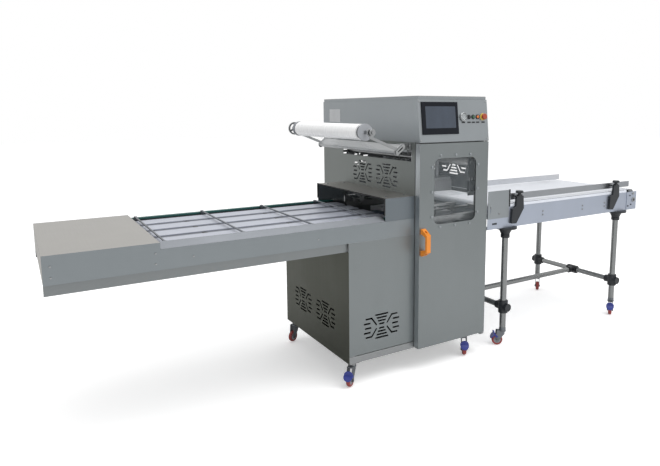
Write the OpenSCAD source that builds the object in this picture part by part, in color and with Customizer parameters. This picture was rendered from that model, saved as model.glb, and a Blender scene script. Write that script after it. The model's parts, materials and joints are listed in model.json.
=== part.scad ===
// Bowl sealing machine: slatted infeed, film unwind, four-column sealing press, outfeed belt.
// X runs along the product flow, Y away from the operator, Z up from the floor.
// Places are given from the lower cabinet's near left corner, then moved by place().

/* [Cabinet] */
// Height of the cabinet's underside above the floor
cab_z = 140; // [136:1:144]
// Depth of the lower cabinet
low_d = 868; // [866:1:872]
// Depth of the upper cabinet, which overhangs at the back
up_d = 1159; // [1140:1:1180]
// Distance from the lower cabinet's left face to the upper cabinet's left face
split_x = 456; // [454:1:458]
// Length of the cabinet along the flow
cab_l = 996; // [996:1:1000]
// Thickness of the stainless sheet
sheet = 2; // [1.5:0.1:2]
// Height of the infeed's lower edge above the floor
low_top = 853; // [851:1:854]
// Height of the waist between the lower and upper cabinet
waist = 984; // [984:1:988]
// Height of the underside of the control head
head_z = 1403; // [1403:1:1406]
// Height of the head's side walls above the floor
lid_z = 1655; // [1645:1:1665]
// Height of the whole machine
top_z = 1675; // [1670:1:1690]
// Lean of the control panel from the vertical, in degrees
lean = 6.71; // [4:0.1:7]

/* [Door] */
// Width of the window cut in the door
window_w = 328; // [300:1:330]
// Height of the window cut in the door
window_h = 398; // [380:1:400]
// Depth of the folded door leaf
leaf_d = 42; // [40:1:42]
// Distance the handle stands off the door
handle_off = 60; // [50:1:70]

/* [Film] */
// Radius of the full film roll
film_r = 46; // [42:1:46]
// Width of the film
film_w = 800; // [700:10:800]
// Height of the unwind spindle
film_z = 1470; // [1460:1:1480]
// Distance of the unwind spindle from the cabinet's left face
film_x = 120; // [110:1:130]
// Thickness of the film web as modelled
web_t = 0.8; // [0.6:0.1:0.8]

/* [Press] */
// Length of a mould along the flow
mould_l = 352; // [340:1:354]
// Width of a mould across the flow
mould_w = 454; // [440:1:456]
// Radius of one bowl nest
nest_r = 66; // [55:1:68]
// Height of the upper mould's sealing face
seal_z = 1065; // [1064:1:1068]
// Height of the lower mould's face at rest
mould_z = 930; // [920:1:932]
// Radius of a guide column
column_r = 20; // [18:1:20]

/* [Infeed] */
// How far the infeed reaches in front of the cabinet
infeed_l = 1492; // [1470:1:1500]
// Height of the slats that carry the bowls
slat_z = 960; // [958:1:960]
// Number of slats
slat_n = 4; // [3:1:4]
// Distance between the pusher bars
push_pitch = 390; // [380:1:392]
// Pitch radius of the chain sprockets
chain_r = 40; // [40:1:40]

/* [Outfeed] */
// Height of the belt
belt_z = 983; // [980:1:984]
// Width of the belt
belt_w = 796; // [780:1:796]
// Radius of the belt rollers
roll_r = 30; // [28:1:30]
// Distance from the belt's far end to the cabinet's left face
out_end = 2561; // [2550:1:2570]
// Radius of the leg tubes
leg_r = 21; // [19:1:21]
// Height of the leg tubes' lower ends
leg_z = 127; // [125:1:130]

/* [Casters] */
// Radius of a caster wheel
wheel_r = 37.5; // [35:0.5:37.5]
// Width of a caster wheel
wheel_w = 25; // [22:1:25]
// Distance from a swivel's axis to its wheel's axle
trail = 35; // [32:1:36]

/* [Hidden] */
$fn = 64;

// Gap that keeps neighbouring pieces apart, and the radial play of a running fit
gap = 0.3;
play = 0.05;
// The handle's front is the nearest point and the rear wall the farthest
leaf_y = -46;
near_y = leaf_y - handle_off;
mid_x = (out_end - infeed_l) / 2;
mid_y = (near_y + up_d) / 2;

steel = [0.60, 0.62, 0.63];
dark_steel = [0.40, 0.42, 0.43];
black = [0.10, 0.11, 0.13];
white = [0.88, 0.89, 0.91];
green = [0.10, 0.26, 0.26];
orange = [0.84, 0.52, 0.20];
blue = [0.16, 0.20, 0.52];
red = [0.70, 0.20, 0.16];
yellow = [0.90, 0.80, 0.25];
aluminium = [0.72, 0.73, 0.75];
clear = [0.55, 0.62, 0.66, 0.4];
film_tint = [0.72, 0.75, 0.78];

// Frame members
tube = 40;
post = 37.4;
sill_z = cab_z + tube;
post_far = low_d - sheet - gap - post;
post_x = [sheet + gap, split_x + sheet + gap, cab_l - sheet - gap - post];
in_l = split_x + sheet;
in_r = cab_l - sheet;
rear_y = up_d - sheet;

// Press
press_x = 736;
press_y = 434;
column_dy = 252;
column_top = 1000;
hang_z = head_z - 41 - gap;
nest_dx = 166;
nest_dy = 150;
bar_r = 12;
bar_a = [510, 1310];
bar_b = [535.8, 1071.9];
bar_c = [940, 1071.9];
waste_r = 25;
waste = [927.1, 1265];
hang_near = 30;
hang_far = 872;
hang_t = 6;

// Film path
guide = [310, 1370];
guide_tilt = 38;
guide_r = 12.5;
guide_half = 24.5;
guide_low = guide - guide_half * [cos(guide_tilt), sin(guide_tilt)];
film_y = press_y + 12;
film_near = film_y - film_w / 2;
film_far = film_y + film_w / 2;
spindle_r = 10;

// Infeed
cover_x = -1007;
tunnel_x = 247;
tunnel_z = 1087;
infeed_y1 = 856;
far_top = 965;
tail_x = -1330;
drive_x = 400;
chain_z = 912;
chain_near = 44;
chain_far = 798;
chain_w = 12;
shaft_r = 12.5;
push_z = 976;
push_x = [-975, -975 + push_pitch, -975 + 2 * push_pitch, -975 + 3 * push_pitch];
slat_mid = 427;
slat_pitch = 180;
slat_w = 120;

// Outfeed
out_x = 1000;
near_out = -48.6;
far_out = 780;
panel_z = [826, 962];
tail_roll_x = 1085;
drive_roll_x = 2515;
roller_z = belt_z - roll_r - 3;
belt_y = [-32, belt_w - 32];
leg_x = [1202, 2377];
leg_y = [-8, 740];
stretcher_z = 272;
stretcher_r = 19;
bracket_x = [1272, 2290];
near_post = -57;
rail_near_y = -18;
rail_far_y = 590;

// Casters: place, caster height, direction of the trail in degrees, and whether it has a brake
near_left = [42, 38, cab_z, 218, true];
near_right = [892, 34, cab_z, 236, true];
far_left = [42, 822, cab_z, 207, false];
far_right = [900, 822, cab_z, 250, false];
out_near_left = [leg_x[0], leg_y[0], leg_z, 149, true];
out_near_right = [leg_x[1], leg_y[0], leg_z, 213, true];
out_far_left = [leg_x[0], leg_y[1], leg_z, 160, false];
out_far_right = [leg_x[1], leg_y[1], leg_z, 225, false];
kingpin_r = 6;
axle_r = 5;
race_h = 16;
crown_h = 8;
nut_h = 7;

module place() {
    translate([-mid_x, -mid_y, 0]) children();
}

// A block given by its span along each axis
module slab(x, y, z) {
    translate([x[0], y[0], z[0]]) cube([x[1] - x[0], y[1] - y[0], z[1] - z[0]]);
}

// Round bars along each axis
module rod_x(x, y, z, r) {
    translate([x[0], y, z]) rotate([0, 90, 0]) cylinder(r = r, h = x[1] - x[0]);
}

module rod_y(x, y, z, r) {
    translate([x, y[0], z]) rotate([-90, 0, 0]) cylinder(r = r, h = y[1] - y[0]);
}

module rod_z(x, y, z, r) {
    translate([x, y, z[0]]) cylinder(r = r, h = z[1] - z[0]);
}

// Flat shapes thickened along each axis: drawn in (Y, Z), (X, Z) and (X, Y)
module sheet_x(x) {
    translate([x[0], 0, 0]) rotate([90, 0, 90]) linear_extrude(x[1] - x[0]) children();
}

module sheet_y(y) {
    translate([0, y[1], 0]) rotate([90, 0, 0]) linear_extrude(y[1] - y[0]) children();
}

module sheet_z(z) {
    translate([0, 0, z[0]]) linear_extrude(z[1] - z[0]) children();
}

module area(u, v) {
    translate([u[0], v[0]]) square([u[1] - u[0], v[1] - v[0]]);
}

// Square tube along each axis, open at both ends
module tube_x(x, y, z, t = 3) {
    sheet_x(x) difference() {
        area(y, z);
        area([y[0] + t, y[1] - t], [z[0] + t, z[1] - t]);
    }
}

module tube_y(x, y, z, t = 3) {
    sheet_y(y) difference() {
        area(x, z);
        area([x[0] + t, x[1] - t], [z[0] + t, z[1] - t]);
    }
}

module tube_z(x, y, z, t = 3) {
    sheet_z(z) difference() {
        area(x, y);
        area([x[0] + t, x[1] - t], [y[0] + t, y[1] - t]);
    }
}

// A straight slot between two points
module slot2d(p, q, w) {
    d = (q - p) / norm(q - p);
    n = [-d[1], d[0]] * w / 2;
    polygon([p - n, q - n, q + n, p + n]);
}

// Louvre pattern: two stacks that narrow to the middle, two wings, four diagonals
module vent2d() {
    for (s = [-1, 1]) {
        for (i = [0:3]) {
            half = 46 - 9 * i;
            v = s * (70 - 19 * i);
            polygon([[-half - 1, v + s * 5], [half + 1, v + s * 5],
                [half - 3, v - s * 5], [3 - half, v - s * 5]]);
        }
        for (wing = [[-56, 66, 112], [-28, 78, 124], [0, 74, 116], [28, 78, 124], [56, 66, 112]])
            slot2d([s * wing[1], wing[0]], [s * wing[2], wing[0]], 10);
        for (t = [-1, 1]) slot2d([s * 70, t * 56], [s * 36, t * 10], 9);
    }
}

module vent_at(u, v) {
    translate([u, v]) vent2d();
}

// A bolt with a domed head, standing out along +Z from the origin
module bolt_head(r, h) {
    cylinder(r = r, h = h * 0.6);
    translate([0, 0, h * 0.6]) cylinder(r1 = r, r2 = r * 0.6, h = h * 0.4);
}

// Caster plate, race, kingpin and nut, all fixed to what the caster carries
module caster_mount(c, round_plate) {
    h = c[2];
    translate([c[0], c[1], h]) {
        if (round_plate) translate([0, 0, -6]) cylinder(r = leg_r, h = 6 - gap);
        else translate([-32, -32, -6]) cube([64, 64, 6 - gap]);
        translate([0, 0, -6 - race_h]) cylinder(r = 22, h = race_h);
        translate([0, 0, -6 - race_h - crown_h - nut_h]) cylinder(r = kingpin_r, h = crown_h + nut_h + 1);
        translate([0, 0, -6 - race_h - crown_h - 2 * gap - nut_h]) cylinder(r = 10, h = nut_h, $fn = 6);
    }
}

// Fork with its axle bolt, and a brake pedal on the braked casters
module caster_fork(c) {
    top = c[2] - 6 - race_h - gap;
    leg_in = wheel_w / 2 + 2;
    leg_out = leg_in + 3;
    place() translate([c[0], c[1], 0]) rotate([0, 0, c[3]]) {
        color(dark_steel) {
            difference() {
                union() {
                    rod_z(0, 0, [top - crown_h, top], 24);
                    slab([-12, trail], [-leg_out, leg_out], [top - crown_h, top]);
                    for (s = [-1, 1]) sheet_y(s > 0 ? [leg_in, leg_out] : [-leg_out, -leg_in]) {
                        polygon([[-12, top], [trail + 6, top], [trail + 12, wheel_r], [trail - 12, wheel_r],
                            [-12, top - 24]]);
                        translate([trail, wheel_r]) circle(r = 12);
                    }
                }
                rod_z(0, 0, [0, c[2]], kingpin_r + play);
                rod_z(0, 0, [0, top - crown_h], 14);
                rod_y(trail, [-leg_out - 1, leg_out + 1], wheel_r, axle_r + gap);
            }
        }
        color(steel) {
            rod_y(trail, [-leg_out - 4, leg_out + 4], wheel_r, axle_r);
            for (s = [-1, 1]) {
                y = s * (leg_out + gap);
                sheet_y(s > 0 ? [y, y + 5] : [y - 5, y]) translate([trail, wheel_r]) circle(r = 9, $fn = 6);
            }
        }
        if (c[4]) brake_pedal(leg_out);
    }
}

// Brake shroud round the wheel's trailing side, with an upright pedal, both cut round, and two straps
module brake_pedal(side) {
    round_r = 28;
    far = 70;
    color(blue) {
        intersection() {
            sheet_y([-round_r, round_r]) {
                intersection() {
                    translate([trail, wheel_r]) difference() {
                        circle(r = wheel_r + 10);
                        circle(r = wheel_r + 4);
                    }
                    translate([trail, wheel_r]) polygon([[0, 0], [far, 0], [far, far], [far * 0.4, far]]);
                }
                polygon([[trail + 17, 80], [trail + 26, 76], [trail + 30, 104], [trail + 24, 108]]);
            }
            rod_x([trail, trail + far], 0, 74, round_r);
        }
        for (s = [-1, 1]) {
            y = s * (side + gap);
            sheet_y(s > 0 ? [y, y + 4] : [y - 4, y])
                polygon([[trail - 6, 60], [trail + 8, 56], [trail + 26, 76], [trail + 17, 82]]);
        }
    }
}

module caster_wheel(c) {
    side = wheel_w / 2;
    bore = axle_r + play;
    place() translate([c[0], c[1], wheel_r]) rotate([0, 0, c[3]])
        translate([trail, 0, 0]) rotate([90, 0, 0]) {
        color(red) rotate_extrude($fn = 96) polygon([[24, 3 - side], [wheel_r - 5, -side],
            [wheel_r - 1.5, 4 - side], [wheel_r, 0], [wheel_r - 1.5, side - 4],
            [wheel_r - 5, side], [24, side - 3]]);
        color(steel) rotate_extrude($fn = 96) polygon([[bore, -side - 1], [11, -side - 1], [13, 5 - side],
            [24, 3 - side], [24, side - 3], [13, side - 5], [11, side + 1], [bore, side + 1]]);
    }
}

// Square-tube frame of the cabinet, with the caster mounts under it
module base_frame() {
    place() color(steel) {
        for (y = [0, low_d - tube]) tube_x([post_x[0], in_r - gap], [y, y + tube], [cab_z, sill_z]);
        for (x = [post_x[0], split_x, in_r - gap - tube])
            tube_y([x, x + tube], [tube + gap, low_d - tube - gap], [cab_z, sill_z]);
        near = [sheet + gap, sheet + gap + post];
        far = [post_far, post_far + post];
        for (i = [0:2]) {
            x = [post_x[i], post_x[i] + post];
            tube_z(x, near, [sill_z + gap, i == 0 ? low_top - 3 : head_z - 3]);
            tube_z(x, far, [sill_z + gap, i == 0 ? low_top - 3 : waist - 38 - gap]);
            if (i > 0) {
                tube_y(x, [far[0], rear_y - gap], [waist - 38, waist - gap]);
                tube_z(x, [rear_y - gap - post, rear_y - gap], [waist + sheet + gap, head_z - 41 - gap]);
                tube_y(x, [near[1] + gap, rear_y - gap], [head_z - 41, head_z - 3]);
            }
        }
        left_bay = [post_x[0] + post + gap, post_x[1] - gap];
        press_bay = [post_x[1] + post + gap, post_x[2] - gap];
        for (y = [near, far]) {
            tube_x(left_bay, y, [low_top - 41, low_top - 3]);
            tube_x(press_bay, y, [500, 540 - gap]);
            tube_x(press_bay, y, [905, 905 + tube]);
        }
        tube_y([post_x[0], post_x[0] + post], [near[1] + gap, far[0] - gap], [low_top - 41, low_top - 3]);
        for (y = [near[0], rear_y - gap - post]) tube_x(press_bay, [y, y + post], [head_z - 41, head_z - 3]);
        for (x = [560, 872]) tube_y([x, x + tube], [near[1] + gap, far[0] - gap], [500, 540 - gap]);
        for (c = [near_left, near_right, far_left, far_right]) caster_mount(c, false);
    }
}

// Left, near and rear skins of the lower cabinet, and its floor pan
module lower_panels() {
    place() color(steel) {
        sheet_x([0, sheet]) difference() {
            area([0, low_d], [cab_z, 802]);
            vent_at(290, 357);
            vent_at(602, 360);
        }
        sheet_y([0, sheet]) difference() {
            area([sheet + gap, split_x], [sill_z + 4, low_top - gap]);
            vent_at(224, 332);
        }
        sheet_y([low_d - sheet, low_d]) difference() {
            polygon([[sheet + gap, sill_z], [cab_l, sill_z], [cab_l, waist - gap], [in_l, waist - gap],
                [in_l, low_top - gap], [sheet + gap, low_top - gap]]);
            area([in_l - 1, post_x[1] + post + gap], [waist - 38 - gap, waist]);
            area([post_x[2] - gap, cab_l + 1], [waist - 38 - gap, waist]);
        }
        slab([post_x[0] + post + gap, post_x[2] - gap], [sheet + post + 2 * gap, post_far - gap],
            [sill_z + gap, sill_z + gap + sheet]);
    }
}

// Rear wall of the upper cabinet and the floor of its overhang
module upper_rear_shell() {
    place() color(steel) difference() {
        union() {
            slab([split_x, cab_l], [rear_y, up_d], [waist, head_z - gap]);
            slab([in_l + gap, in_r - gap], [low_d + gap, rear_y], [waist, waist + sheet]);
        }
        sheet_y([rear_y - 1, up_d + 1]) vent_at(730, 1240);
    }
}

module right_panel() {
    place() color(steel) sheet_x([in_r, cab_l]) difference() {
        polygon([[0, cab_z], [low_d - sheet - gap, cab_z], [low_d - sheet - gap, waist],
            [rear_y - gap, waist], [rear_y - gap, head_z - gap], [0, head_z - gap]]);
        area([60, 790], [958, 1075]);
        vent_at(285, 1236);
        vent_at(597, 1236);
        vent_at(290, 360);
        vent_at(602, 362);
    }
}

// Left skin of the upper cabinet with the infeed's mouth and the film slot
module upper_left_panel() {
    place() color(steel) sheet_x([split_x, in_l]) difference() {
        area([0, rear_y - gap], [waist + gap, head_z - gap]);
        area([20, 836], [waist - 1, 1075]);
        area([31, 860], [1288, 1355]);
        vent_at(304, 1181);
        vent_at(597, 1181);
    }
}

// Everything on the leaning panel is placed in its own plane: u right, v up, w outwards
module on_panel(u = 0, v = 0, w = 0) {
    translate([split_x, leaf_y, head_z]) rotate([90 - lean, 0, 0]) translate([u, v, w]) children();
}

panel_w = 540;
panel_h = (lid_z - head_z) / cos(lean);
panel_t = 3;
button_v = 148;
start_u = 385;
stop_u = 420;
lamp_u = 455;
estop_u = 500;
gauge_u = 340;
barrel_r = 10.8;
plunger_r = 9;
button_travel = 4;
estop_travel = 5;
label_v = 115;

// Sheet housing of the control gear, its lift-off lid and a bare rating plate
module head_shell() {
    front_top = leaf_y + (lid_z - head_z) * tan(lean);
    set_back = panel_t / cos(lean);
    side = [[leaf_y + set_back, head_z], [up_d, head_z], [up_d, lid_z], [front_top + set_back, lid_z]];
    inside_x = [in_l + gap, in_r - gap];
    lid_x = [split_x + 4, cab_l - 4];
    lid_y = [front_top + 5, up_d - 4];
    rim_z = [lid_z + gap, top_z - sheet - gap];
    place() {
        color(steel) {
            sheet_x([split_x, in_l]) polygon(side);
            sheet_x([in_r, cab_l]) polygon(side);
            slab(inside_x, [rear_y, up_d], [head_z + sheet + gap, lid_z]);
            slab(inside_x, [leaf_y + set_back + 1, up_d], [head_z, head_z + sheet]);
            slab(lid_x, lid_y, [top_z - sheet, top_z]);
            for (x = [lid_x[0], lid_x[1] - sheet]) slab([x, x + sheet], lid_y, rim_z);
            for (y = [lid_y[0], lid_y[1] - sheet]) slab([lid_x[0] + sheet + gap, lid_x[1] - sheet - gap],
                [y, y + sheet], rim_z);
            for (u = [split_x + 2 * sheet, cab_l - 2 * sheet - 20])
                slab([u, u + 20], [20, 1130], [lid_z - 12, lid_z - gap]);
        }
        color(aluminium) slab([split_x - 1, split_x - gap], [899, 1062], [1510, 1601]);
    }
}

// Collar and threaded barrel of one 22 mm control
module control_collar(u, bore, out) {
    on_panel(u, button_v) rotate_extrude() polygon([[bore, -24], [barrel_r, -24], [barrel_r, gap],
        [out, gap], [out, 2.4], [out - 1, 3.2], [bore, 3.2]]);
}

// Stainless front plate with the fixed parts of its controls and bare label plates
module control_panel() {
    place() {
        color(steel) on_panel(0, 0, -panel_t) linear_extrude(panel_t) difference() {
            area([0, panel_w], [0.5, panel_h]);
            area([30, 290], [52, 232]);
            translate([gauge_u, button_v]) circle(r = 25);
            for (u = [start_u, stop_u, lamp_u, estop_u]) translate([u, button_v]) circle(r = barrel_r + gap);
        }
        color(black) for (u = [start_u, stop_u, lamp_u]) control_collar(u, plunger_r + play, 14.5);
        color(yellow) control_collar(estop_u, plunger_r + play, 22);
        color(orange) on_panel(lamp_u, button_v) {
            translate([0, 0, -20]) cylinder(r = plunger_r - gap, h = 25);
            intersection() {
                translate([0, 0, 5]) cylinder(r = plunger_r - gap, h = 10);
                translate([0, 0, -5]) sphere(r = 14);
            }
        }
        color(aluminium) for (u = [gauge_u, start_u, stop_u, lamp_u, estop_u])
            on_panel(u - 13, label_v - 4.5, gap) cube([26, 9, 1]);
        color(dark_steel) for (u = [10, panel_w - 10], v = [12, panel_h - 12])
            on_panel(u, v, gap) bolt_head(5, 3);
    }
}

// Round cap on a plunger, with a rest position that stands out by its travel
module push_button(u, cap_r, lift, cap_h, tint) {
    place() color(tint) on_panel(u, button_v) {
        translate([0, 0, -16]) cylinder(r = plunger_r, h = 16 + lift);
        translate([0, 0, lift]) {
            cylinder(r = cap_r, h = cap_h * 0.7);
            translate([0, 0, cap_h * 0.7]) cylinder(r1 = cap_r, r2 = cap_r * 0.8, h = cap_h * 0.3);
        }
    }
}

module start_button() {
    push_button(start_u, plunger_r, 4, 5, black);
}

module stop_button() {
    push_button(stop_u, plunger_r, 4, 5, [0.16, 0.24, 0.22]);
}

module emergency_stop() {
    push_button(estop_u, 19, 12, 12, red);
}

// Touch screen: bezel, housing behind the plate, and the glass
module touch_panel() {
    place() {
        color(black) difference() {
            union() {
                on_panel(24, 46, gap) cube([272, 192, 5.7]);
                on_panel(32, 54, -42) cube([256, 176, 42 + 2 * gap]);
            }
            on_panel(50, 82, 3) cube([228, 131, 4]);
        }
        color([0.31, 0.36, 0.42]) on_panel(50 + gap, 82 + gap, 3 + gap)
            cube([228 - 2 * gap, 131 - 2 * gap, 1.5]);
    }
}

// Vacuum gauge: case, dial, needle and lens
module vacuum_gauge() {
    place() on_panel(gauge_u, button_v) {
        color(steel) rotate_extrude() polygon([[0, -30], [24, -30], [24, gap], [27, gap], [27, 9], [24, 11],
            [22.5, 11], [22.5, 3], [0, 3]]);
        color(white) translate([0, 0, 3 + gap]) cylinder(r = 22, h = 1);
        color(black) translate([0, 0, 5]) {
            cylinder(r = 2.5, h = 1.2);
            rotate([0, 0, 130]) translate([-5, -0.7, 0]) cube([21, 1.4, 0.8]);
        }
        color(clear) translate([0, 0, 7]) cylinder(r = 22, h = 1.5);
    }
}

hinge_x = 984;
hinge_y = -38;
hinge_r = 4;
leaf_x = [split_x + sheet, cab_l - 1];
leaf_z = [146, 1396];
leaf_back = leaf_y + leaf_d;
window_x = 731;
window_z = 1106;
window_corner = 40;
pane_x = [532, 930];
pane_z = [871, 1341];
window_bolts = concat([for (x = [550, 912], z = [956, 1106, 1256]) [x, z]],
    [for (x = [614, 731, 848], z = [889, 1323]) [x, z]]);
lip = 10;

// Two pintle brackets that carry the door
module door_hinges() {
    place() color(steel) {
        slab([962, cab_l], [leaf_y, 36], [cab_z - 4 - gap, cab_z - gap]);
        rod_z(hinge_x, hinge_y, [cab_z - 1, leaf_z[0] - gap], 8);
        rod_z(hinge_x, hinge_y, [cab_z, leaf_z[0] + 19], hinge_r);
        slab([962, in_r], [leaf_y, 36], [head_z - 3 + gap, head_z - gap]);
        rod_z(hinge_x, hinge_y, [leaf_z[1] + gap, head_z - 2], 8);
        rod_z(hinge_x, hinge_y, [leaf_z[1] - 19, head_z - 2], hinge_r);
    }
}

module window2d(grow) {
    w = window_w / 2 - window_corner;
    h = window_h / 2 - window_corner;
    translate([window_x, window_z]) {
        square([window_w + 2 * grow, 2 * h], center = true);
        square([2 * w, window_h + 2 * grow], center = true);
        for (x = [-w, w], z = [-h, h]) translate([x, z]) circle(r = window_corner + grow);
    }
}

// Folded sheet leaf with the window, bolt holes and two hinge blocks
module door_leaf() {
    x = leaf_x;
    z = leaf_z;
    place() color(steel) difference() {
        union() {
            difference() {
                slab(x, [leaf_y, leaf_back], z);
                slab([x[0] + sheet, x[1] - sheet], [leaf_y + sheet, leaf_back + 1],
                    [z[0] + sheet, z[1] - sheet]);
            }
            slab([x[0], x[0] + lip + sheet], [leaf_back - sheet, leaf_back], z);
            slab([x[0], x[1]], [leaf_back - sheet, leaf_back], [z[0], z[0] + lip + sheet]);
            slab([x[0], x[1]], [leaf_back - sheet, leaf_back], [z[1] - lip - sheet, z[1]]);
            for (z0 = [z[0] + 1, z[1] - 25]) slab([970, x[1] - 1], [leaf_y + 1, hinge_y + 10], [z0, z0 + 24]);
        }
        sheet_y([leaf_y - 1, leaf_y + 3]) window2d(0);
        for (b = window_bolts) rod_y(b[0], [leaf_y - 1, leaf_y + 3], b[1], 4 + gap);
        rod_z(hinge_x, hinge_y, [z[0] - 1, z[0] + 26], hinge_r + play);
        rod_z(hinge_x, hinge_y, [z[1] - 26, z[1] + 1], hinge_r + play);
    }
}

// Clear pane behind the skin, clamped by twelve bolts with nuts and a rubber seal
module door_window() {
    seal = [leaf_y + sheet + gap, leaf_y + sheet + 3];
    pane = [seal[1] + gap, seal[1] + 6];
    place() {
        color(clear) sheet_y(pane) difference() {
            area(pane_x, pane_z);
            for (b = window_bolts) translate(b) circle(r = 4 + gap);
        }
        color(black) sheet_y(seal) difference() {
            window2d(12);
            window2d(0);
        }
        color(aluminium) for (b = window_bolts) translate([b[0], 0, b[1]]) {
            translate([0, leaf_y - gap, 0]) rotate([90, 0, 0]) bolt_head(8, 5);
            rod_y(0, [leaf_y - 1, pane[1] + 6], 0, 4);
            rod_y(0, [pane[1] + gap, pane[1] + 6], 0, 7);
        }
    }
}

handle_x = [468, 498];
handle_z = [728, 892];

// Bridge handle with two feet and their screws
module door_handle() {
    bar = near_y;
    z = handle_z;
    foot = leaf_y - gap;
    place() {
        color(orange) difference() {
            sheet_x(handle_x) difference() {
                polygon([[foot, z[0]], [foot - 12, z[0]], [bar, z[0] + 30], [bar, z[1] - 30],
                    [foot - 12, z[1]], [foot, z[1]]]);
                polygon([[foot + 1, z[0] + 32], [foot - 8, z[0] + 30], [bar + 14, z[0] + 44],
                    [bar + 14, z[1] - 44], [foot - 8, z[1] - 30], [foot + 1, z[1] - 32]]);
            }
            for (z0 = [z[0] + 15, z[1] - 15]) rod_y(483, [bar, foot + 1], z0, 6.5);
        }
        color(dark_steel) for (z0 = [z[0] + 15, z[1] - 15]) rod_y(483, [foot - 8, foot], z0, 6);
    }
}

arm_near = [-52, -46];
arm_far = [884, 890];

// Two slim arms on the guide tube, with open forks that the unwind spindle drops into
module film_cradle() {
    place() color(steel) for (y = [arm_near, arm_far]) difference() {
        sheet_y(y) {
            slot2d([film_x - 8, film_z - 26], [318, 1362], 16);
            translate([film_x, film_z]) circle(r = 26);
            stadium2d(guide_r + 6);
        }
        rod_y(film_x, [y[0] - 1, y[1] + 1], film_z, spindle_r + play);
        slab([film_x - spindle_r - play, film_x + spindle_r + play], [y[0] - 1, y[1] + 1],
            [film_z, film_z + 30]);
        sheet_y([y[0] - 1, y[1] + 1]) stadium2d(guide_r + gap);
    }
}

module stadium2d(r) {
    translate(guide) rotate(guide_tilt) {
        square([2 * guide_half, 2 * r], center = true);
        for (s = [-1, 1]) translate([s * guide_half, 0]) circle(r = r);
    }
}

// Flat guide tube that the film turns under, on two brackets from the cabinet wall
module film_guide_bar() {
    y = [arm_near[0] - 6, arm_far[1] + 6];
    wall = split_x - gap;
    place() color(steel) {
        sheet_y(y) difference() {
            stadium2d(guide_r);
            stadium2d(guide_r - 3);
        }
        for (cap = [[y[0] - 2, y[0]], [y[1], y[1] + 2]]) sheet_y(cap) difference() {
            stadium2d(guide_r);
            translate(guide) rotate(guide_tilt) square([40, 7], center = true);
        }
        for (b = [60, 832]) {
            sheet_y([b, b + 6]) difference() {
                polygon([[318, 1394], [wall - 4, 1398], [wall - 4, 1362], [334, 1374]]);
                stadium2d(guide_r + gap);
            }
            slab([wall - 4 + gap, wall], [b - 20, b + 26], [1360, 1400]);
            for (side = [b - 12, b + 18])
                translate([wall - 4, side, 1380]) rotate([0, -90, 0]) bolt_head(6, 5);
        }
    }
}

// Spindle with two core chucks, their flanges, a near collar and a far handwheel
module film_shaft() {
    place() {
        color(steel) {
            rod_y(film_x, [-75, 950], film_z, spindle_r);
            for (y = [[-68, -58], [896, 908]]) difference() {
                rod_y(film_x, y, film_z, 18);
                rod_y(film_x, [y[0] - 1, y[1] + 1], film_z, spindle_r + gap);
            }
        }
        color(black) {
            for (y = [[[10, 18], [18, 62]], [[870, 878], [830, 870]]]) difference() {
                union() {
                    rod_y(film_x, y[0], film_z, 48);
                    rod_y(film_x, y[1], film_z, 36);
                }
                rod_y(film_x, [y[1][0] - 20, y[1][1] + 20], film_z, spindle_r + gap);
            }
        }
        color(dark_steel) difference() {
            union() {
                sheet_y([946, 958]) translate([film_x, film_z]) difference() {
                    circle(r = 43);
                    circle(r = 33);
                }
                sheet_y([948, 956]) translate([film_x, film_z]) for (a = [90, 210, 330])
                    slot2d([0, 0], 36 * [cos(a), sin(a)], 12);
                rod_y(film_x, [940, 958], film_z, 16);
            }
            rod_y(film_x, [930, 960], film_z, spindle_r + gap);
        }
    }
}

// Film wound on a board core
module film_roll() {
    place() {
        color(film_tint) rotate_tube([film_near, film_far], film_r, 38);
        color([0.62, 0.52, 0.40]) rotate_tube([film_near - 12, film_far + 12], 38 - gap, 36 + gap);
    }
}

module rotate_tube(y, outer, inner) {
    difference() {
        rod_y(film_x, y, film_z, outer);
        rod_y(film_x, [y[0] - 1, y[1] + 1], film_z, inner);
    }
}

// Film path as tangent lines and arcs: each turn is centre, radius and side, 1 with the bar on the left
film_turns = [[[film_x, film_z], film_r + gap + web_t / 2, 1],
    [guide_low, guide_r + 0.9, 1],
    [bar_a, bar_r + 0.9, -1],
    [bar_b, bar_r + 0.9, 1],
    [bar_c, bar_r + 0.9, 1],
    [waste, waste_r + gap + web_t / 2, 1]];

function heading(a, b) = let (d = b[0] - a[0], k = b[2] * b[1] - a[2] * a[1])
    atan2(d[1], d[0]) - asin(k / norm(d));
function left_of(h) = [cos(h + 90), sin(h + 90)];
function touch(t, h) = t[0] - t[2] * t[1] * left_of(h);
headings = [for (i = [0:4]) heading(film_turns[i], film_turns[i + 1])];
arc_steps = 8;
function turn_in(i) = i == 0 ? headings[0] - 20 : headings[i - 1];
function turn_out(i) = i == 5 ? headings[4] : headings[i];
function film_side(shift) = [for (i = [0:5], k = [0:arc_steps])
    let (h = turn_in(i) + (turn_out(i) - turn_in(i)) * k / arc_steps)
    if (i < 5 || k == 0) touch(film_turns[i], h) + shift * left_of(h)];

// Film drawn from the roll, round the bars and up to the waste reel
module film_web() {
    up = film_side(web_t / 2);
    down = film_side(-web_t / 2);
    last = len(down) - 1;
    place() color(film_tint) sheet_y([film_near, film_far])
        polygon(concat(up, [for (i = [0:last]) down[last - i]]));
}

// Driven reel that winds up the punched film, with its spindle
module waste_winder() {
    place() {
        color(film_tint) difference() {
            rod_y(waste[0], [film_near, film_far], waste[1], waste_r);
            rod_y(waste[0], [film_near - 1, film_far + 1], waste[1], spindle_r + 5);
        }
        color(steel) {
            rod_y(waste[0], [hang_near - 4, hang_far + hang_t + 30], waste[1], spindle_r);
            for (y = [[film_near - 2, film_near + 40], [film_far - 40, film_far + 2]])
                rod_y(waste[0], y, waste[1], spindle_r + 5 - gap);
        }
    }
}

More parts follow.
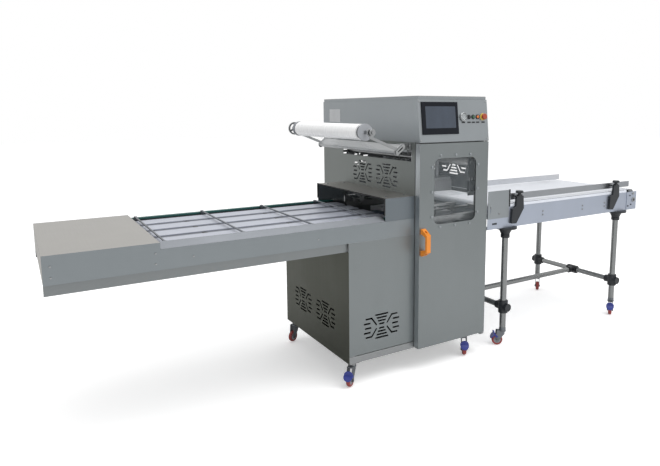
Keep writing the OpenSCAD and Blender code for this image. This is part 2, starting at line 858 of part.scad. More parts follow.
// Base plate with the lift cylinder and guide columns, head plate on beams, film bars, transfer guides
module press_frame() {
    plate_x = [press_x - 191, press_x + 191];
    plate_y = [press_y - 290, press_y + 290];
    place() {
        color(aluminium) {
            difference() {
                slab(plate_x, plate_y, [540, 560]);
                rod_z(press_x, press_y, [539, 561], 20 + gap);
            }
            difference() {
                union() {
                    rod_z(press_x, press_y, [320, 540 - gap], 42);
                    rod_z(press_x, press_y, [310, 330], 50);
                }
                rod_z(press_x, press_y, [336, 541], 20 + play);
            }
            slab(plate_x, [press_y - 230, press_y + 230], [1330, 1345]);
            for (y = [press_y - 170, press_y + 170])
                slab([post_x[1] + gap, in_r - 2 * gap], [y - 25, y + 25], [1345 + gap, hang_z]);
        }
        color(steel) {
            for (y = [press_y - column_dy, press_y + column_dy]) {
                rod_z(press_x, y, [560 + gap, column_top], column_r);
                rod_z(press_x, y, [560 + gap, 574], 32);
            }
            for (b = [bar_a, bar_b, bar_c])
                rod_y(b[0], [hang_near + hang_t + gap, hang_far - gap], b[1], bar_r);
            for (y = [hang_near, hang_far]) difference() {
                sheet_y([y, y + hang_t]) {
                    area([498, 556], [1050, hang_z]);
                    area([900, 955], [1050, hang_z]);
                }
                rod_y(waste[0], [y - 1, y + hang_t + 1], waste[1], spindle_r + play);
            }
            for (y = [rail_guide[0], rail_guide[1]]) {
                rod_x([466, 988], y, rail_guide_z, 8);
                for (x = [[464, 482], [972, 990]]) difference() {
                    slab(x, y < press_y ? [tube + 2 * gap, y + 14] : [y - 14, post_far - gap],
                        [rail_guide_z - 14, rail_guide_z + 14]);
                    rod_x([x[0] - 1, x[1] + 1], y, rail_guide_z, 8 + gap);
                }
            }
        }
    }
}

rail_guide = [112, 756];
rail_guide_z = 968;

module nests(z, h, r) {
    for (x = [-0.5, 0.5], y = [-1, 0, 1]) rod_z(press_x + x * nest_dx, press_y + y * nest_dy, [z, z + h], r);
}

// Heated sealing head: body, six sealing rings, heater plate and four hangers
module upper_mould() {
    x = [press_x - mould_l / 2, press_x + mould_l / 2];
    y = [press_y - mould_w / 2, press_y + mould_w / 2];
    place() {
        color(aluminium) difference() {
            slab(x, y, [seal_z, seal_z + 70]);
            nests(seal_z - 1, 19, nest_r - 6);
        }
        color(dark_steel) {
            slab([x[0] + 6, x[1] - 6], [y[0] + 6, y[1] - 6], [seal_z + 70 + gap, seal_z + 90]);
            for (dx = [-95, 95], dy = [-170, 170])
                rod_z(press_x + dx, press_y + dy, [seal_z + 90 + gap, 1330 - gap], 12);
        }
    }
}

// Lower mould with six nests, on its platen and the lift cylinder's rod
module lower_mould() {
    x = [press_x - mould_l / 2, press_x + mould_l / 2];
    y = [press_y - mould_w / 2, press_y + mould_w / 2];
    platen_z = [mould_z - 102, mould_z - 80 - gap];
    place() {
        color(aluminium) difference() {
            slab(x, y, [mould_z - 80, mould_z]);
            nests(mould_z - 62, 63, nest_r);
        }
        color(steel) difference() {
            slab([press_x - 184, press_x + 184], [press_y - 282, press_y + 282], platen_z);
            for (dy = [-column_dy, column_dy])
                rod_z(press_x, press_y + dy, [platen_z[0] - 1, platen_z[1] + 1], column_r + play);
        }
        color(steel) rod_z(press_x, press_y, [350, platen_z[0] - gap], 20);
    }
}

// Pair of rails with gripper fingers that carry the bowls through the press
module transfer_rails() {
    place() color(steel) for (s = [-1, 1]) {
        y = s < 0 ? rail_guide[0] : rail_guide[1];
        reach = s < 0 ? [y + 10, y + 42] : [y - 42, y - 10];
        slab([500, 860], [y - 12, y + 12], [rail_guide_z + 20, rail_guide_z + 34]);
        for (x = [520, 810]) difference() {
            slab([x, x + 36], [y - 14, y + 14], [rail_guide_z - 16, rail_guide_z + 20]);
            rod_x([x - 1, x + 37], y, rail_guide_z, 8 + play);
        }
        for (x = [530, 640, 750, 820]) slab([x, x + 24], reach, [rail_guide_z + 22, rail_guide_z + 30]);
    }
}

// Infeed gearmotor on its shaft, waste reel motor, and the pneumatic valve block
module drive_motors() {
    place() {
        color([0.30, 0.34, 0.40]) {
            difference() {
                slab([352, 448], [300, 392], [862, 948]);
                rod_y(drive_x, [299, 393], chain_z, shaft_r + play);
            }
            rod_x([196, 352 - gap], 346, 905, 38);
            rod_x([180, 196 - gap], 346, 905, 34);
            difference() {
                slab([waste[0] - 32, waste[0] + 32], [hang_far + hang_t + gap, 948],
                    [waste[1] - 34, waste[1] + 34]);
                rod_y(waste[0], [hang_far, 912], waste[1], spindle_r + play);
            }
            rod_y(waste[0], [948 + gap, 1060], waste[1], 30);
        }
        color(black) for (i = [0:3]) slab([888 + 17 * i, 903 + 17 * i], [4, 29], [1082, 1148]);
        color(aluminium) slab([886, 955], [6, 29], [1070, 1082 - gap]);
        color(steel) for (x = [897, 921, 945]) rod_z(x, 16, [1148 + gap, 1170], 5);
    }
}

// Side skin of the infeed: outline in (X, Z) with the raised part under the cover
module infeed_side(y, outline_mid) {
    sheet_y(y) polygon([[-infeed_l, low_top], [split_x, low_top], [split_x, outline_mid],
        [cover_x, outline_mid], [cover_x, waist], [-infeed_l, waist]]);
}

module shaft_bearing(x, y) {
    difference() {
        slab([x - 32, x + 32], y, [chain_z - 27, chain_z + 17]);
        rod_y(x, [y[0] - 1, y[1] + 1], chain_z, shaft_r + play);
    }
}

// Near skin with its sloping cap, the lower band, shaft bearings and screws
module infeed_near_panel() {
    cap_z = 952;
    cap_x = [cover_x + gap, tunnel_x - gap];
    screws = [[-1461, 935], [-1030, 935], [-856, 900], [-186, 900], [-1461, 885], [-1030, 885]];
    place() {
        color(steel) {
            infeed_side([0, sheet], cap_z);
            sheet_x(cap_x) polygon([[0, cap_z + gap], [2, cap_z + gap], [30, waist - 2], [30, waist]]);
            slab(cap_x, [28, 30], [waist - 12, waist - 4.5]);
            slab([-infeed_l, -gap], [15, 17], [802, low_top - gap]);
            slab([-infeed_l, -gap], [17, 37], [802, 804]);
            for (x = [tail_x, drive_x]) shaft_bearing(x, [sheet + gap, 13]);
        }
        color(dark_steel) for (p = screws) translate([p[0], -gap, p[1]]) rotate([90, 0, 0]) bolt_head(5, 3);
    }
}

module infeed_far_panel() {
    y = [infeed_y1 - sheet, infeed_y1];
    place() color(steel) {
        infeed_side(y, far_top);
        slab([-infeed_l, -gap], [839, 841], [802, low_top - gap]);
        slab([-infeed_l, -gap], [819, 839], [802, 804]);
        for (x = [tail_x, drive_x]) shaft_bearing(x, [843, infeed_y1 - sheet - gap]);
    }
}

// Folded cover over the infeed's tail, with the end plate and the rod at its mouth
module infeed_cover() {
    y = [sheet + gap, infeed_y1 - sheet - gap];
    place() color(steel) {
        slab([-infeed_l, cover_x], y, [waist - sheet, waist]);
        slab([cover_x - sheet, cover_x], y, [waist - 12, waist - sheet - gap]);
        slab([-infeed_l, -infeed_l + sheet], y, [low_top, waist - sheet - gap]);
        rod_y(cover_x + 5, [31, 800], push_z - 4, 3);
    }
}

// Slats on a pan, its cross bars and clips, and the two green chain guides
module infeed_bed() {
    first = slat_mid - (slat_n - 1) / 2 * slat_pitch;
    x = [-1270, 340];
    under = slat_z - 6;
    pan_y = [60, chain_far - 3];
    place() {
        color(white) for (i = [0:slat_n - 1]) {
            y = first + i * slat_pitch;
            slab(x, [y - slat_w / 2, y + slat_w / 2], [under, slat_z]);
        }
        color(steel) {
            slab(x, pan_y, [under - gap - sheet, under - gap]);
            for (c = [-1240, -790, -310, 100]) {
                tube_y([c, c + 30], [sheet + gap, infeed_y1 - sheet - gap], [900, 930 - gap], 2);
                tube_y([c, c + 30], pan_y, [930, under - 2 * gap - sheet], 2);
            }
            for (c = [-1440, -900, -400, -60])
                tube_y([c, c + 34], [17 + gap, 839 - gap], [804 + gap, 838], 2);
        }
        color(black) for (c = [-725, -241, 243], i = [0:slat_n - 1]) {
            y = first + (i + 0.5) * slat_pitch;
            slab([c - 12, c + 12], [y - 27, min(y + 27, pan_y[1] - 2)], [under, under + 2]);
        }
        color(green) {
            slab(x, [20, chain_near - 2], [930, 969]);
            slab(x, [chain_near - 2, chain_near + chain_w + 2], [930, chain_z + chain_r - 8]);
            slab(x, [chain_far + chain_w + 2, 840], [930, 969]);
            slab(x, [chain_far - 2, chain_far + chain_w + 2], [930, chain_z + chain_r - 8]);
        }
    }
}

module chain_loop2d(r) {
    translate([drive_x, chain_z]) circle(r = r);
    translate([tail_x, chain_z]) circle(r = r);
    area([tail_x, drive_x], [chain_z - r, chain_z + r]);
}

// Two endless double-pitch chains: side plates round the whole loop, rollers on the straight runs
module infeed_chains() {
    pitch = 50.8;
    count = floor((drive_x - tail_x - 120) / pitch);
    place() color(dark_steel) for (y = [chain_near, chain_far]) {
        for (s = [[y, y + 2], [y + chain_w - 2, y + chain_w]]) sheet_y(s) difference() {
            chain_loop2d(chain_r + 7);
            chain_loop2d(chain_r - 7);
        }
        for (i = [0:count], z = [chain_z - chain_r, chain_z + chain_r])
            rod_y(tail_x + 65 + i * pitch, [y + 1, y + chain_w - 1], z, 4);
    }
}

// Bars of the chains' upper run that push the rows of bowls, with their end blocks
module pusher_bars() {
    place() color(steel) for (x = push_x) {
        rod_y(x, [chain_near + chain_w + 1, chain_far - 1], push_z, 5);
        for (y = [[chain_near - 1, chain_near + 15], [chain_far - 3, chain_far + 13]])
            slab([x - 8, x + 8], y, [slat_z + 0.6, push_z + 4]);
    }
}

// Shaft with two toothed wheels between the chains' side plates
module chain_shaft(x) {
    teeth = 12;
    tip = chain_r - 2;
    outline = [for (i = [0:4 * teeth - 1]) let (a = i * 90 / teeth, r = i % 4 < 2 ? tip : tip - 7)
        r * [cos(a), sin(a)]];
    place() color(steel) {
        rod_y(x, [sheet + 2 * gap, infeed_y1 - sheet - 2 * gap], chain_z, shaft_r);
        for (y = [chain_near, chain_far]) {
            sheet_y([y + 2.6, y + chain_w - 2.6]) translate([x, chain_z]) polygon(outline);
            rod_y(x, [y - 6, y + chain_w + 6], chain_z, 20);
        }
    }
}

module infeed_drive_shaft() {
    chain_shaft(drive_x);
}

module infeed_tail_shaft() {
    chain_shaft(tail_x);
}

// Hood over the infeed where it enters the cabinet, with a rubber lip on its mouth
module tunnel_hood() {
    x = [tunnel_x, split_x - gap];
    y = [0, infeed_y1];
    under = tunnel_z - sheet - gap;
    lip_x = [x[0] - 6, x[0] - gap];
    place() {
        color(steel) {
            slab(x, y, [tunnel_z - sheet, tunnel_z]);
            slab(x, [y[0], y[0] + sheet], [952 + gap, under]);
            slab(x, [y[1] - sheet, y[1]], [far_top + gap, under]);
            for (p = [[290, 60], [290, 790], [420, 60], [420, 790]])
                translate([p[0], p[1], tunnel_z + gap]) bolt_head(6, 4);
        }
        color(black) {
            slab(lip_x, [y[0] - 2, y[1] + 2], [tunnel_z - 5, tunnel_z + 3]);
            for (v = [y[0] - 2, y[1] - 5]) slab(lip_x, [v, v + 7], [waist + 2, tunnel_z - 5 - gap]);
        }
    }
}

// Side frames, slider bed, wear strips, end housings, the guards at the exit and a plug behind a slot
module outfeed_frame() {
    x = [out_x, 2443];
    inner_n = near_out + sheet;
    inner_f = far_out - sheet;
    place() {
        color([0.69, 0.71, 0.78]) {
            for (s = [0, 1]) {
                y = s == 0 ? [near_out, inner_n] : [inner_f, far_out];
                fold = s == 0 ? [near_out, 32] : [700, far_out];
                top_fold = s == 0 ? [near_out, near_out + 12] : [far_out - 12, far_out];
                end = s == 0 ? [near_out - 3, inner_n + 4] : [inner_f - 4, far_out + 3];
                boss = s == 0 ? [inner_n + gap, inner_n + 8] : [inner_f - 8, inner_f - gap];
                difference() {
                    sheet_y(y) area(x, [panel_z[0] + sheet + gap, panel_z[1] - sheet - gap]);
                    rod_y(tail_roll_x, [y[0] - 1, y[1] + 1], roller_z, 8 + play);
                    if (s == 0) sheet_y([y[0] - 1, y[1] + 1]) area([1041, 1083], [855, 867]);
                }
                slab(x, top_fold, [panel_z[1] - sheet, panel_z[1]]);
                difference() {
                    rod_y(tail_roll_x, boss, roller_z, 16);
                    rod_y(tail_roll_x, [boss[0] - 1, boss[1] + 1], roller_z, 8 + play);
                }
                slab(x, fold, [panel_z[0], panel_z[0] + sheet]);
                difference() {
                    slab([x[1] + gap, out_end], end, [panel_z[0], panel_z[1] + 2]);
                    rod_y(drive_roll_x, [end[0] - 1, end[1] + 1], roller_z, spindle_r + play);
                }
            }
        }
        color(steel) {
            bed_z = belt_z - 3 - gap;
            slab([tail_roll_x + 40, drive_roll_x - 40], [belt_y[0] + 4, belt_y[1] - 4], [bed_z - 3, bed_z]);
            for (c = [1300, 1750, 2200])
                tube_y([c, c + 30], [belt_y[0] - 1 + gap, belt_y[1] + 1 - gap], [936, bed_z - 3 - gap], 2);
            for (c = [1180, 1790, 2360])
                tube_y([c, c + 34], [inner_n + gap, inner_f - gap], [850, 884], 2);
            for (y = [[near_out - 2 - gap, near_out - gap], [far_out + gap, far_out + 2 + gap]])
                sheet_y(y) difference() {
                    area([out_x + 1, 1186], [895, 1076]);
                    area([1020, 1026], [936, 978]);
                }
        }
        color(white) for (y = [[near_out + 2.6, belt_y[0] - 1], [belt_y[1] + 1, far_out - 2]])
            slab([1196, x[1]], y, [panel_z[1] + gap, belt_z - 4]);
        color(black) {
            for (y = [near_out - 5, far_out - 1])
                slab([1186 + gap, 1194], [y, y + 6], [panel_z[1] + 3, 1078]);
            slab([1036, 1088], [inner_n + gap, inner_n + 4], [850, 872]);
        }
        color(dark_steel) {
            translate([1100, near_out - 2 - 2 * gap, 925]) rotate([90, 0, 0]) bolt_head(6, 4);
            for (bolt_x = [1512, 1927, 2177], bolt_z = [880, 905])
                translate([bolt_x, near_out - gap, bolt_z]) rotate([90, 0, 0]) bolt_head(6, 4);
        }
    }
}

// Endless belt round both rollers
module outfeed_belt() {
    place() color(white) sheet_y(belt_y) difference() {
        belt_loop2d(roll_r + 3);
        belt_loop2d(roll_r + gap);
    }
}

module belt_loop2d(r) {
    for (x = [tail_roll_x, drive_roll_x]) translate([x, roller_z]) circle(r = r);
    area([tail_roll_x, drive_roll_x], [roller_z - r, roller_z + r]);
}

// Roller on a shaft whose near end has a keyway, so its turning shows
module belt_roller(x, shaft, y) {
    place() color(steel) {
        rod_y(x, [belt_y[0] + 2, belt_y[1] - 2], roller_z, roll_r);
        difference() {
            rod_y(x, y, roller_z, shaft);
            slab([x - 2, x + 2], [y[0] - 1, y[0] + 12], [roller_z + shaft - 3, roller_z + shaft + 1]);
        }
    }
}

module outfeed_drive_roller() {
    belt_roller(drive_roll_x, spindle_r, [near_out - 8, far_out + 8]);
}

module outfeed_tail_roller() {
    belt_roller(tail_roll_x, 8, [near_out + 0.5, far_out - 0.5]);
}

clamp_r = 32;
clamp_h = 42;
socket_r = 27;
socket_l = 56;

// Clamp that ties a stretcher to a leg: upright sleeve, level socket, and a boss for the screw
module tee_clamp(x, y, dir) {
    difference() {
        union() {
            rod_z(x, y, [stretcher_z - clamp_h, stretcher_z + clamp_h], clamp_r);
            translate([x, y, stretcher_z]) rotate([0, 90, dir]) translate([0, 0, -48])
                cylinder(r = socket_r, h = 48 + socket_l);
        }
        rod_z(x, y, [stretcher_z - clamp_h - 1, stretcher_z + clamp_h + 1], leg_r + gap);
        translate([x, y, stretcher_z]) rotate([0, 90, dir]) cylinder(r = stretcher_r + gap, h = socket_l + 1);
    }
}

// Four leg tubes with black brackets and clamps, and the stretchers between them
module outfeed_legs() {
    mid = (leg_y[0] + leg_y[1]) / 2;
    mid_leg = (leg_x[0] + leg_x[1]) / 2;
    place() {
        for (x = leg_x) {
            for (y = leg_y) {
                color(steel) rod_z(x, y, [leg_z, panel_z[0] - 30], leg_r);
                color(black) {
                    difference() {
                        union() {
                            rod_z(x, y, [panel_z[0] - 76, panel_z[0] - 55], 30);
                            translate([x, y, panel_z[0] - 56]) cylinder(r1 = 27, r2 = 46, h = 41);
                            rod_z(x, y, [panel_z[0] - 14, panel_z[0] - gap], 76);
                        }
                        rod_z(x, y, [0, panel_z[0] - 30 + gap], leg_r + gap);
                    }
                    tee_clamp(x, y, y < mid ? 90 : -90);
                }
            }
            color(steel) rod_y(x, [leg_y[0] + 28, leg_y[1] - 28], stretcher_z, stretcher_r);
            color(black) mid_clamp(x, mid, x < mid_leg ? 0 : 180);
        }
        color(steel) rod_x([leg_x[0] + 28, leg_x[1] - 28], mid, stretcher_z, stretcher_r);
        color(dark_steel) for (c = [out_near_left, out_near_right, out_far_left, out_far_right])
            caster_mount(c, true);
    }
}

// Clamp on a cross stretcher, with the socket for the long stretcher
module mid_clamp(x, y, dir) {
    difference() {
        union() {
            rod_y(x, [y - clamp_h, y + clamp_h], stretcher_z, clamp_r);
            translate([x, y, stretcher_z]) rotate([0, 90, dir]) cylinder(r = socket_r, h = socket_l);
        }
        rod_y(x, [y - clamp_h - 1, y + clamp_h + 1], stretcher_z, stretcher_r + gap);
        translate([x, y, stretcher_z]) rotate([0, 90, dir]) translate([0, 0, 26])
            cylinder(r = stretcher_r + gap, h = socket_l);
    }
}

knob_z = 1040;

// Angular plate on the side frame and, near its top, the rod that holds a rail
module rail_bracket(x, plate_y, rod_y_span, top) {
    color(black) {
        sheet_y(plate_y) translate([x, 0]) polygon([[-72, 852], [-28, 848], [38, 946], [31, top],
            [-29, top], [-34, 962], [-66, 948]]);
        rod_y(x, rod_y_span, top - 6, 5);
    }
}

// Flat rails that keep the bowls on the belt, with their brackets, clamp heads and studs
module guide_rails() {
    near_plate = [near_post - 8, near_out - gap];
    far_plate = [far_out + gap, far_out + 16];
    place() {
        color(steel) slab([1233, 2504], [rail_near_y - 2, rail_near_y + 2], [1002, 1045]);
        color(aluminium) slab([1070, 2430], [rail_far_y - 1.5, rail_far_y + 1.5], [1003, 1047]);
        for (x = bracket_x) {
            rail_bracket(x, near_plate, [near_out - 1, rail_near_y - 2 - gap], 1030);
            rail_bracket(x + 20, far_plate, [rail_far_y + 1.5 + gap, far_out + 1], 1012);
            color(black) slab([x - 16, x + 16], [near_post - 11, near_post + 11], [1030 + gap, knob_z]);
            color(steel) rod_z(x, near_post, [knob_z - 1, knob_z + 19], 4);
        }
    }
}

// Star knob that clamps a rail, on the stud of its bracket
module clamp_knob(x) {
    bore = 4 + play;
    depth = 20;
    place() color(black) translate([x, near_post, knob_z + gap]) difference() {
        rotate_extrude() polygon([[bore, 0], [11, 0], [11, 7], [25, 11], [25, 21], [21, 25],
            [0, 25], [0, depth], [bore, depth]]);
        for (a = [0:60:300]) rotate(a) translate([29, 0, 5]) cylinder(r = 7, h = 22);
    }
}

module left_knob() {
    clamp_knob(bracket_x[0]);
}

module right_knob() {
    clamp_knob(bracket_x[1]);
}

base_frame();
lower_panels();
upper_rear_shell();
right_panel();
upper_left_panel();
head_shell();
control_panel();
touch_panel();
vacuum_gauge();
door_hinges();
door_leaf();
door_window();
door_handle();
start_button();
stop_button();
emergency_stop();
film_cradle();
film_guide_bar();
film_shaft();
film_roll();
film_web();
waste_winder();
press_frame();
upper_mould();
lower_mould();
transfer_rails();
drive_motors();
infeed_near_panel();
infeed_far_panel();
infeed_cover();
infeed_bed();
infeed_chains();
pusher_bars();
infeed_drive_shaft();
infeed_tail_shaft();
tunnel_hood();
outfeed_frame();
outfeed_belt();
outfeed_drive_roller();
outfeed_tail_roller();
outfeed_legs();
guide_rails();
left_knob();
right_knob();
caster_fork(near_left);  // cabinet_near_left_fork
caster_wheel(near_left);  // cabinet_near_left_wheel
caster_fork(near_right);  // cabinet_near_right_fork
caster_wheel(near_right);  // cabinet_near_right_wheel
caster_fork(far_left);  // cabinet_far_left_fork
caster_wheel(far_left);  // cabinet_far_left_wheel
caster_fork(far_right);  // cabinet_far_right_fork
caster_wheel(far_right);  // cabinet_far_right_wheel
caster_fork(out_near_left);  // conveyor_near_left_fork
caster_wheel(out_near_left);  // conveyor_near_left_wheel
caster_fork(out_near_right);  // conveyor_near_right_fork
caster_wheel(out_near_right);  // conveyor_near_right_wheel
caster_fork(out_far_left);  // conveyor_far_left_fork
caster_wheel(out_far_left);  // conveyor_far_left_wheel
caster_fork(out_far_right);  // conveyor_far_right_fork
caster_wheel(out_far_right);  // conveyor_far_right_wheel
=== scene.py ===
# %% [markdown]
# A bowl sealing machine, finished for a studio picture.
# Bowls are pushed along white slats, meet the film under a heated head behind the door,
# and leave on a belt. The construction comes ready as a frame of named nodes in metres.
# This script gives every node its finish and adds the detail that only shows close up.

# %% Load the frame
import json
import math
import bpy
from mathutils import Matrix, Vector


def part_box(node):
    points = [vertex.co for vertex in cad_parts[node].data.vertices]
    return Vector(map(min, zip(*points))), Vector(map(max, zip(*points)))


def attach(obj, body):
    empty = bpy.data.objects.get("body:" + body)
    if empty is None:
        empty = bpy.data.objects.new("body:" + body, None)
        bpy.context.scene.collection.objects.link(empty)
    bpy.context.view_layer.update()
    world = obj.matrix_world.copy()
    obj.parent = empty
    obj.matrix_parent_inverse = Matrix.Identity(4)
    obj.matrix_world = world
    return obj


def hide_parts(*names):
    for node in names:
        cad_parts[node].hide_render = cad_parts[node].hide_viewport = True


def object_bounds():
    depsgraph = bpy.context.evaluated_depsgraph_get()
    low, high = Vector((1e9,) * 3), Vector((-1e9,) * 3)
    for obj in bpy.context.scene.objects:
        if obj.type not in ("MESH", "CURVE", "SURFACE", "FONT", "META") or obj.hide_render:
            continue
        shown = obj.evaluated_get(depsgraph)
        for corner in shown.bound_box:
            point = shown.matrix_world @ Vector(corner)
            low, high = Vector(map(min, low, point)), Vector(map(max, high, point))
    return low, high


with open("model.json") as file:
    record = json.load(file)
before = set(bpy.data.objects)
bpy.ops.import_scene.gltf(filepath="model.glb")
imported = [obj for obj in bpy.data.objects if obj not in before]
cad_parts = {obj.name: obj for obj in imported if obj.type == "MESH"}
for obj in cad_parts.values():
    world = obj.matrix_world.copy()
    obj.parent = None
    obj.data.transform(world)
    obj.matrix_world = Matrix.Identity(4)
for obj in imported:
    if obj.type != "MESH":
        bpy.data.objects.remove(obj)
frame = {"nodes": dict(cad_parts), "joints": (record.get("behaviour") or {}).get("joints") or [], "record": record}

cad_low, cad_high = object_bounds()
print("frame spans", [round(v, 3) for v in cad_high - cad_low], "m,", len(frame["nodes"]), "nodes")

# %% [markdown]
# The camera stands where the photographer stood: left of the machine, a little under the
# height of the control head, looking down by about eight degrees. The picture was cropped
# off centre, so the lens is shifted a little instead of turned, which keeps uprights upright.

# %% Camera
CAMERA_PLACE = Vector((-2.0975, -3.2595, 1.587))
CAMERA_YAW = math.radians(31.70)
CAMERA_PITCH = math.radians(-7.81)
CAMERA_ROLL = math.radians(-0.144)
PICTURE_WIDTH = 660
PICTURE_HEIGHT = 466
FOCAL_PIXELS = 575.87
AXIS_PIXEL = (367.26, 190.11)
SENSOR_WIDTH_MM = 36

lens = bpy.data.cameras.new("camera")
lens.sensor_width = SENSOR_WIDTH_MM
lens.lens = FOCAL_PIXELS * SENSOR_WIDTH_MM / PICTURE_WIDTH
lens.shift_x = (PICTURE_WIDTH / 2 - AXIS_PIXEL[0]) / PICTURE_WIDTH
lens.shift_y = (AXIS_PIXEL[1] - PICTURE_HEIGHT / 2) / PICTURE_WIDTH
camera = bpy.data.objects.new("camera", lens)
bpy.context.scene.collection.objects.link(camera)
look = Vector((math.sin(CAMERA_YAW) * math.cos(CAMERA_PITCH),
               math.cos(CAMERA_YAW) * math.cos(CAMERA_PITCH), math.sin(CAMERA_PITCH)))
turn = look.to_track_quat("-Z", "Y").to_matrix() @ Matrix.Rotation(CAMERA_ROLL, 3, "Z")
camera.matrix_world = Matrix.Translation(CAMERA_PLACE) @ turn.to_4x4()
bpy.context.scene.camera = camera
print("lens", round(lens.lens, 2), "mm, shift", round(lens.shift_x, 4), round(lens.shift_y, 4))

# %% [markdown]
# Colours are easiest to judge as the numbers that a screen shows, from 0 to 255. A shader
# works in linear light, so each one is converted by the screen's own curve: a power for
# nearly all of it, and a straight line for the darkest ten steps.


# %% Colours
def linear(red, green, blue):
    """An sRGB colour in 0 to 255, as the linear colour that a shader works in."""
    return tuple(((c / 255 + 0.055) / 1.055) ** 2.4 if c > 10 else c / 3295
                 for c in (red, green, blue))


def shade(colour, factor):
    return tuple(min(1.0, c * factor) for c in colour)


print("a mid grey of 148 is", [round(c, 3) for c in linear(148, 148, 148)])

# %% [markdown]
# Shader maths reads best as ordinary arithmetic. The small class below wraps the output of
# a node, and each operator on it adds a Math node, so that 1 - mask or grain * 0.2 can be
# written as they are thought.


# %% Shader arithmetic
class Signal:
    """A number or colour that changes over a surface: one node's output."""

    def __init__(self, tree, socket):
        self.tree = tree
        self.socket = socket

    def math(self, operation, first, second):
        node = self.tree.nodes.new("ShaderNodeMath")
        node.operation = operation
        for place, value in zip(node.inputs, (first, second)):
            if isinstance(value, Signal):
                self.tree.links.new(value.socket, place)
            else:
                place.default_value = value
        return Signal(self.tree, node.outputs[0])

    def __add__(self, other):
        return self.math("ADD", self, other)

    def __sub__(self, other):
        return self.math("SUBTRACT", self, other)

    def __mul__(self, other):
        return self.math("MULTIPLY", self, other)

    def __rsub__(self, other):
        return self.math("SUBTRACT", other, self)

    def most(self, other):
        return self.math("MAXIMUM", self, other)

    __radd__ = __add__
    __rmul__ = __mul__


print("operators ready:", [name for name in vars(Signal) if name.startswith("__r")])

# %% [markdown]
# A finish starts as one colour and one roughness. Real surfaces are never that even, so what
# changes over them is fed in after: mottle lets the colour drift between two shades of
# itself, and bump turns a noise into small hollows. Every other node comes from one method,
# which takes its kind, its settings and the values of its sockets.

# %% Finishes
MIX_FACTOR = 0
MIX_FIRST = 6
MIX_SECOND = 7
MIX_COLOUR = 2


class Finish:
    """A material on the Principled shader, with its fixed values and its varying ones."""

    made = 0

    def __init__(self, name, colour, roughness, **fixed):
        self.material = bpy.data.materials.new(name)
        self.material.use_nodes = True
        self.tree = self.material.node_tree
        self.shader = self.tree.nodes["Principled BSDF"]
        self.shader.inputs["Base Color"].default_value = (*colour, 1)
        self.shader.inputs["Roughness"].default_value = roughness
        for key, value in fixed.items():
            self.shader.inputs[key.replace("_", " ")].default_value = value
        Finish.made += 1

    def node(self, kind, settings=None, values=None, output=0):
        made = self.tree.nodes.new(kind)
        for key, value in (settings or {}).items():
            setattr(made, key, value)
        for key, value in (values or {}).items():
            if isinstance(value, Signal):
                self.tree.links.new(value.socket, made.inputs[key])
            else:
                made.inputs[key].default_value = value
        return Signal(self.tree, made.outputs[output])

    def feed(self, name, signal):
        self.tree.links.new(signal.socket, self.shader.inputs[name])

    def place(self):
        return self.node("ShaderNodeTexCoord", output="Object")

    def stretched(self, scale):
        return self.node("ShaderNodeMapping", values={"Vector": self.place(), "Scale": scale})

    def noise(self, where, scale=1.0, detail=3.0, rough=0.5):
        return self.node("ShaderNodeTexNoise", values={
            "Vector": where, "Scale": scale, "Detail": detail, "Roughness": rough})

    def mix(self, mask, first, second):
        values = {MIX_FACTOR: mask, MIX_FIRST: (*first, 1), MIX_SECOND: (*second, 1)}
        return self.node("ShaderNodeMix", {"data_type": "RGBA"}, values, output=MIX_COLOUR)

    def mottle(self, mask, colour, dark, light):
        self.feed("Base Color", self.mix(mask, shade(colour, dark), shade(colour, light)))

    def bump(self, height, depth, strength):
        normal = self.node("ShaderNodeBump", values={
            "Strength": strength, "Distance": depth, "Height": height})
        self.feed("Normal", normal)


print("a mix node gives its colour at output", MIX_COLOUR)

# %% [markdown]
# Most of the machine is stainless sheet with a satin, brushed surface. Brushing leaves fine
# lines along one direction, so noise is stretched along it: slow along the brush and fast
# across it. A second, cloudy noise stands for hand marks, and a third, drawn out upright,
# for the smears of a cloth. The first two change the roughness too, and more than they
# change the colour, as on the real metal.

# %% Stainless steel
SLOW = 4.0
FAST = 420.0
ALONG_X = (SLOW, FAST, FAST)
ALONG_Y = (FAST, SLOW, FAST)
ALONG_Z = (FAST, FAST, SLOW)
GRAIN_SHARE = 0.35
CLOUD_SHARE = 0.45
SMEAR_SHARE = 0.2
SHINE_SWING = 0.22


def brushed(name, colour, roughness, brush, clouds=1.0):
    steel = Finish(name, colour, roughness, Metallic=1.0)
    grain = steel.noise(steel.stretched(brush), detail=4.0, rough=0.6)
    cloud = steel.noise(steel.place(), scale=2.3, detail=4.0, rough=0.55)
    smear = steel.noise(steel.stretched((9, 9, 3)))
    tone = grain * GRAIN_SHARE + cloud * CLOUD_SHARE * clouds + smear * SMEAR_SHARE
    steel.mottle(tone, colour, dark=0.84, light=1.16)
    shine = (grain - 0.5) * SHINE_SWING + (cloud - 0.5) * SHINE_SWING * clouds
    steel.feed("Roughness", shine + roughness)
    steel.bump(grain, depth=0.0003, strength=0.35)
    return steel.material


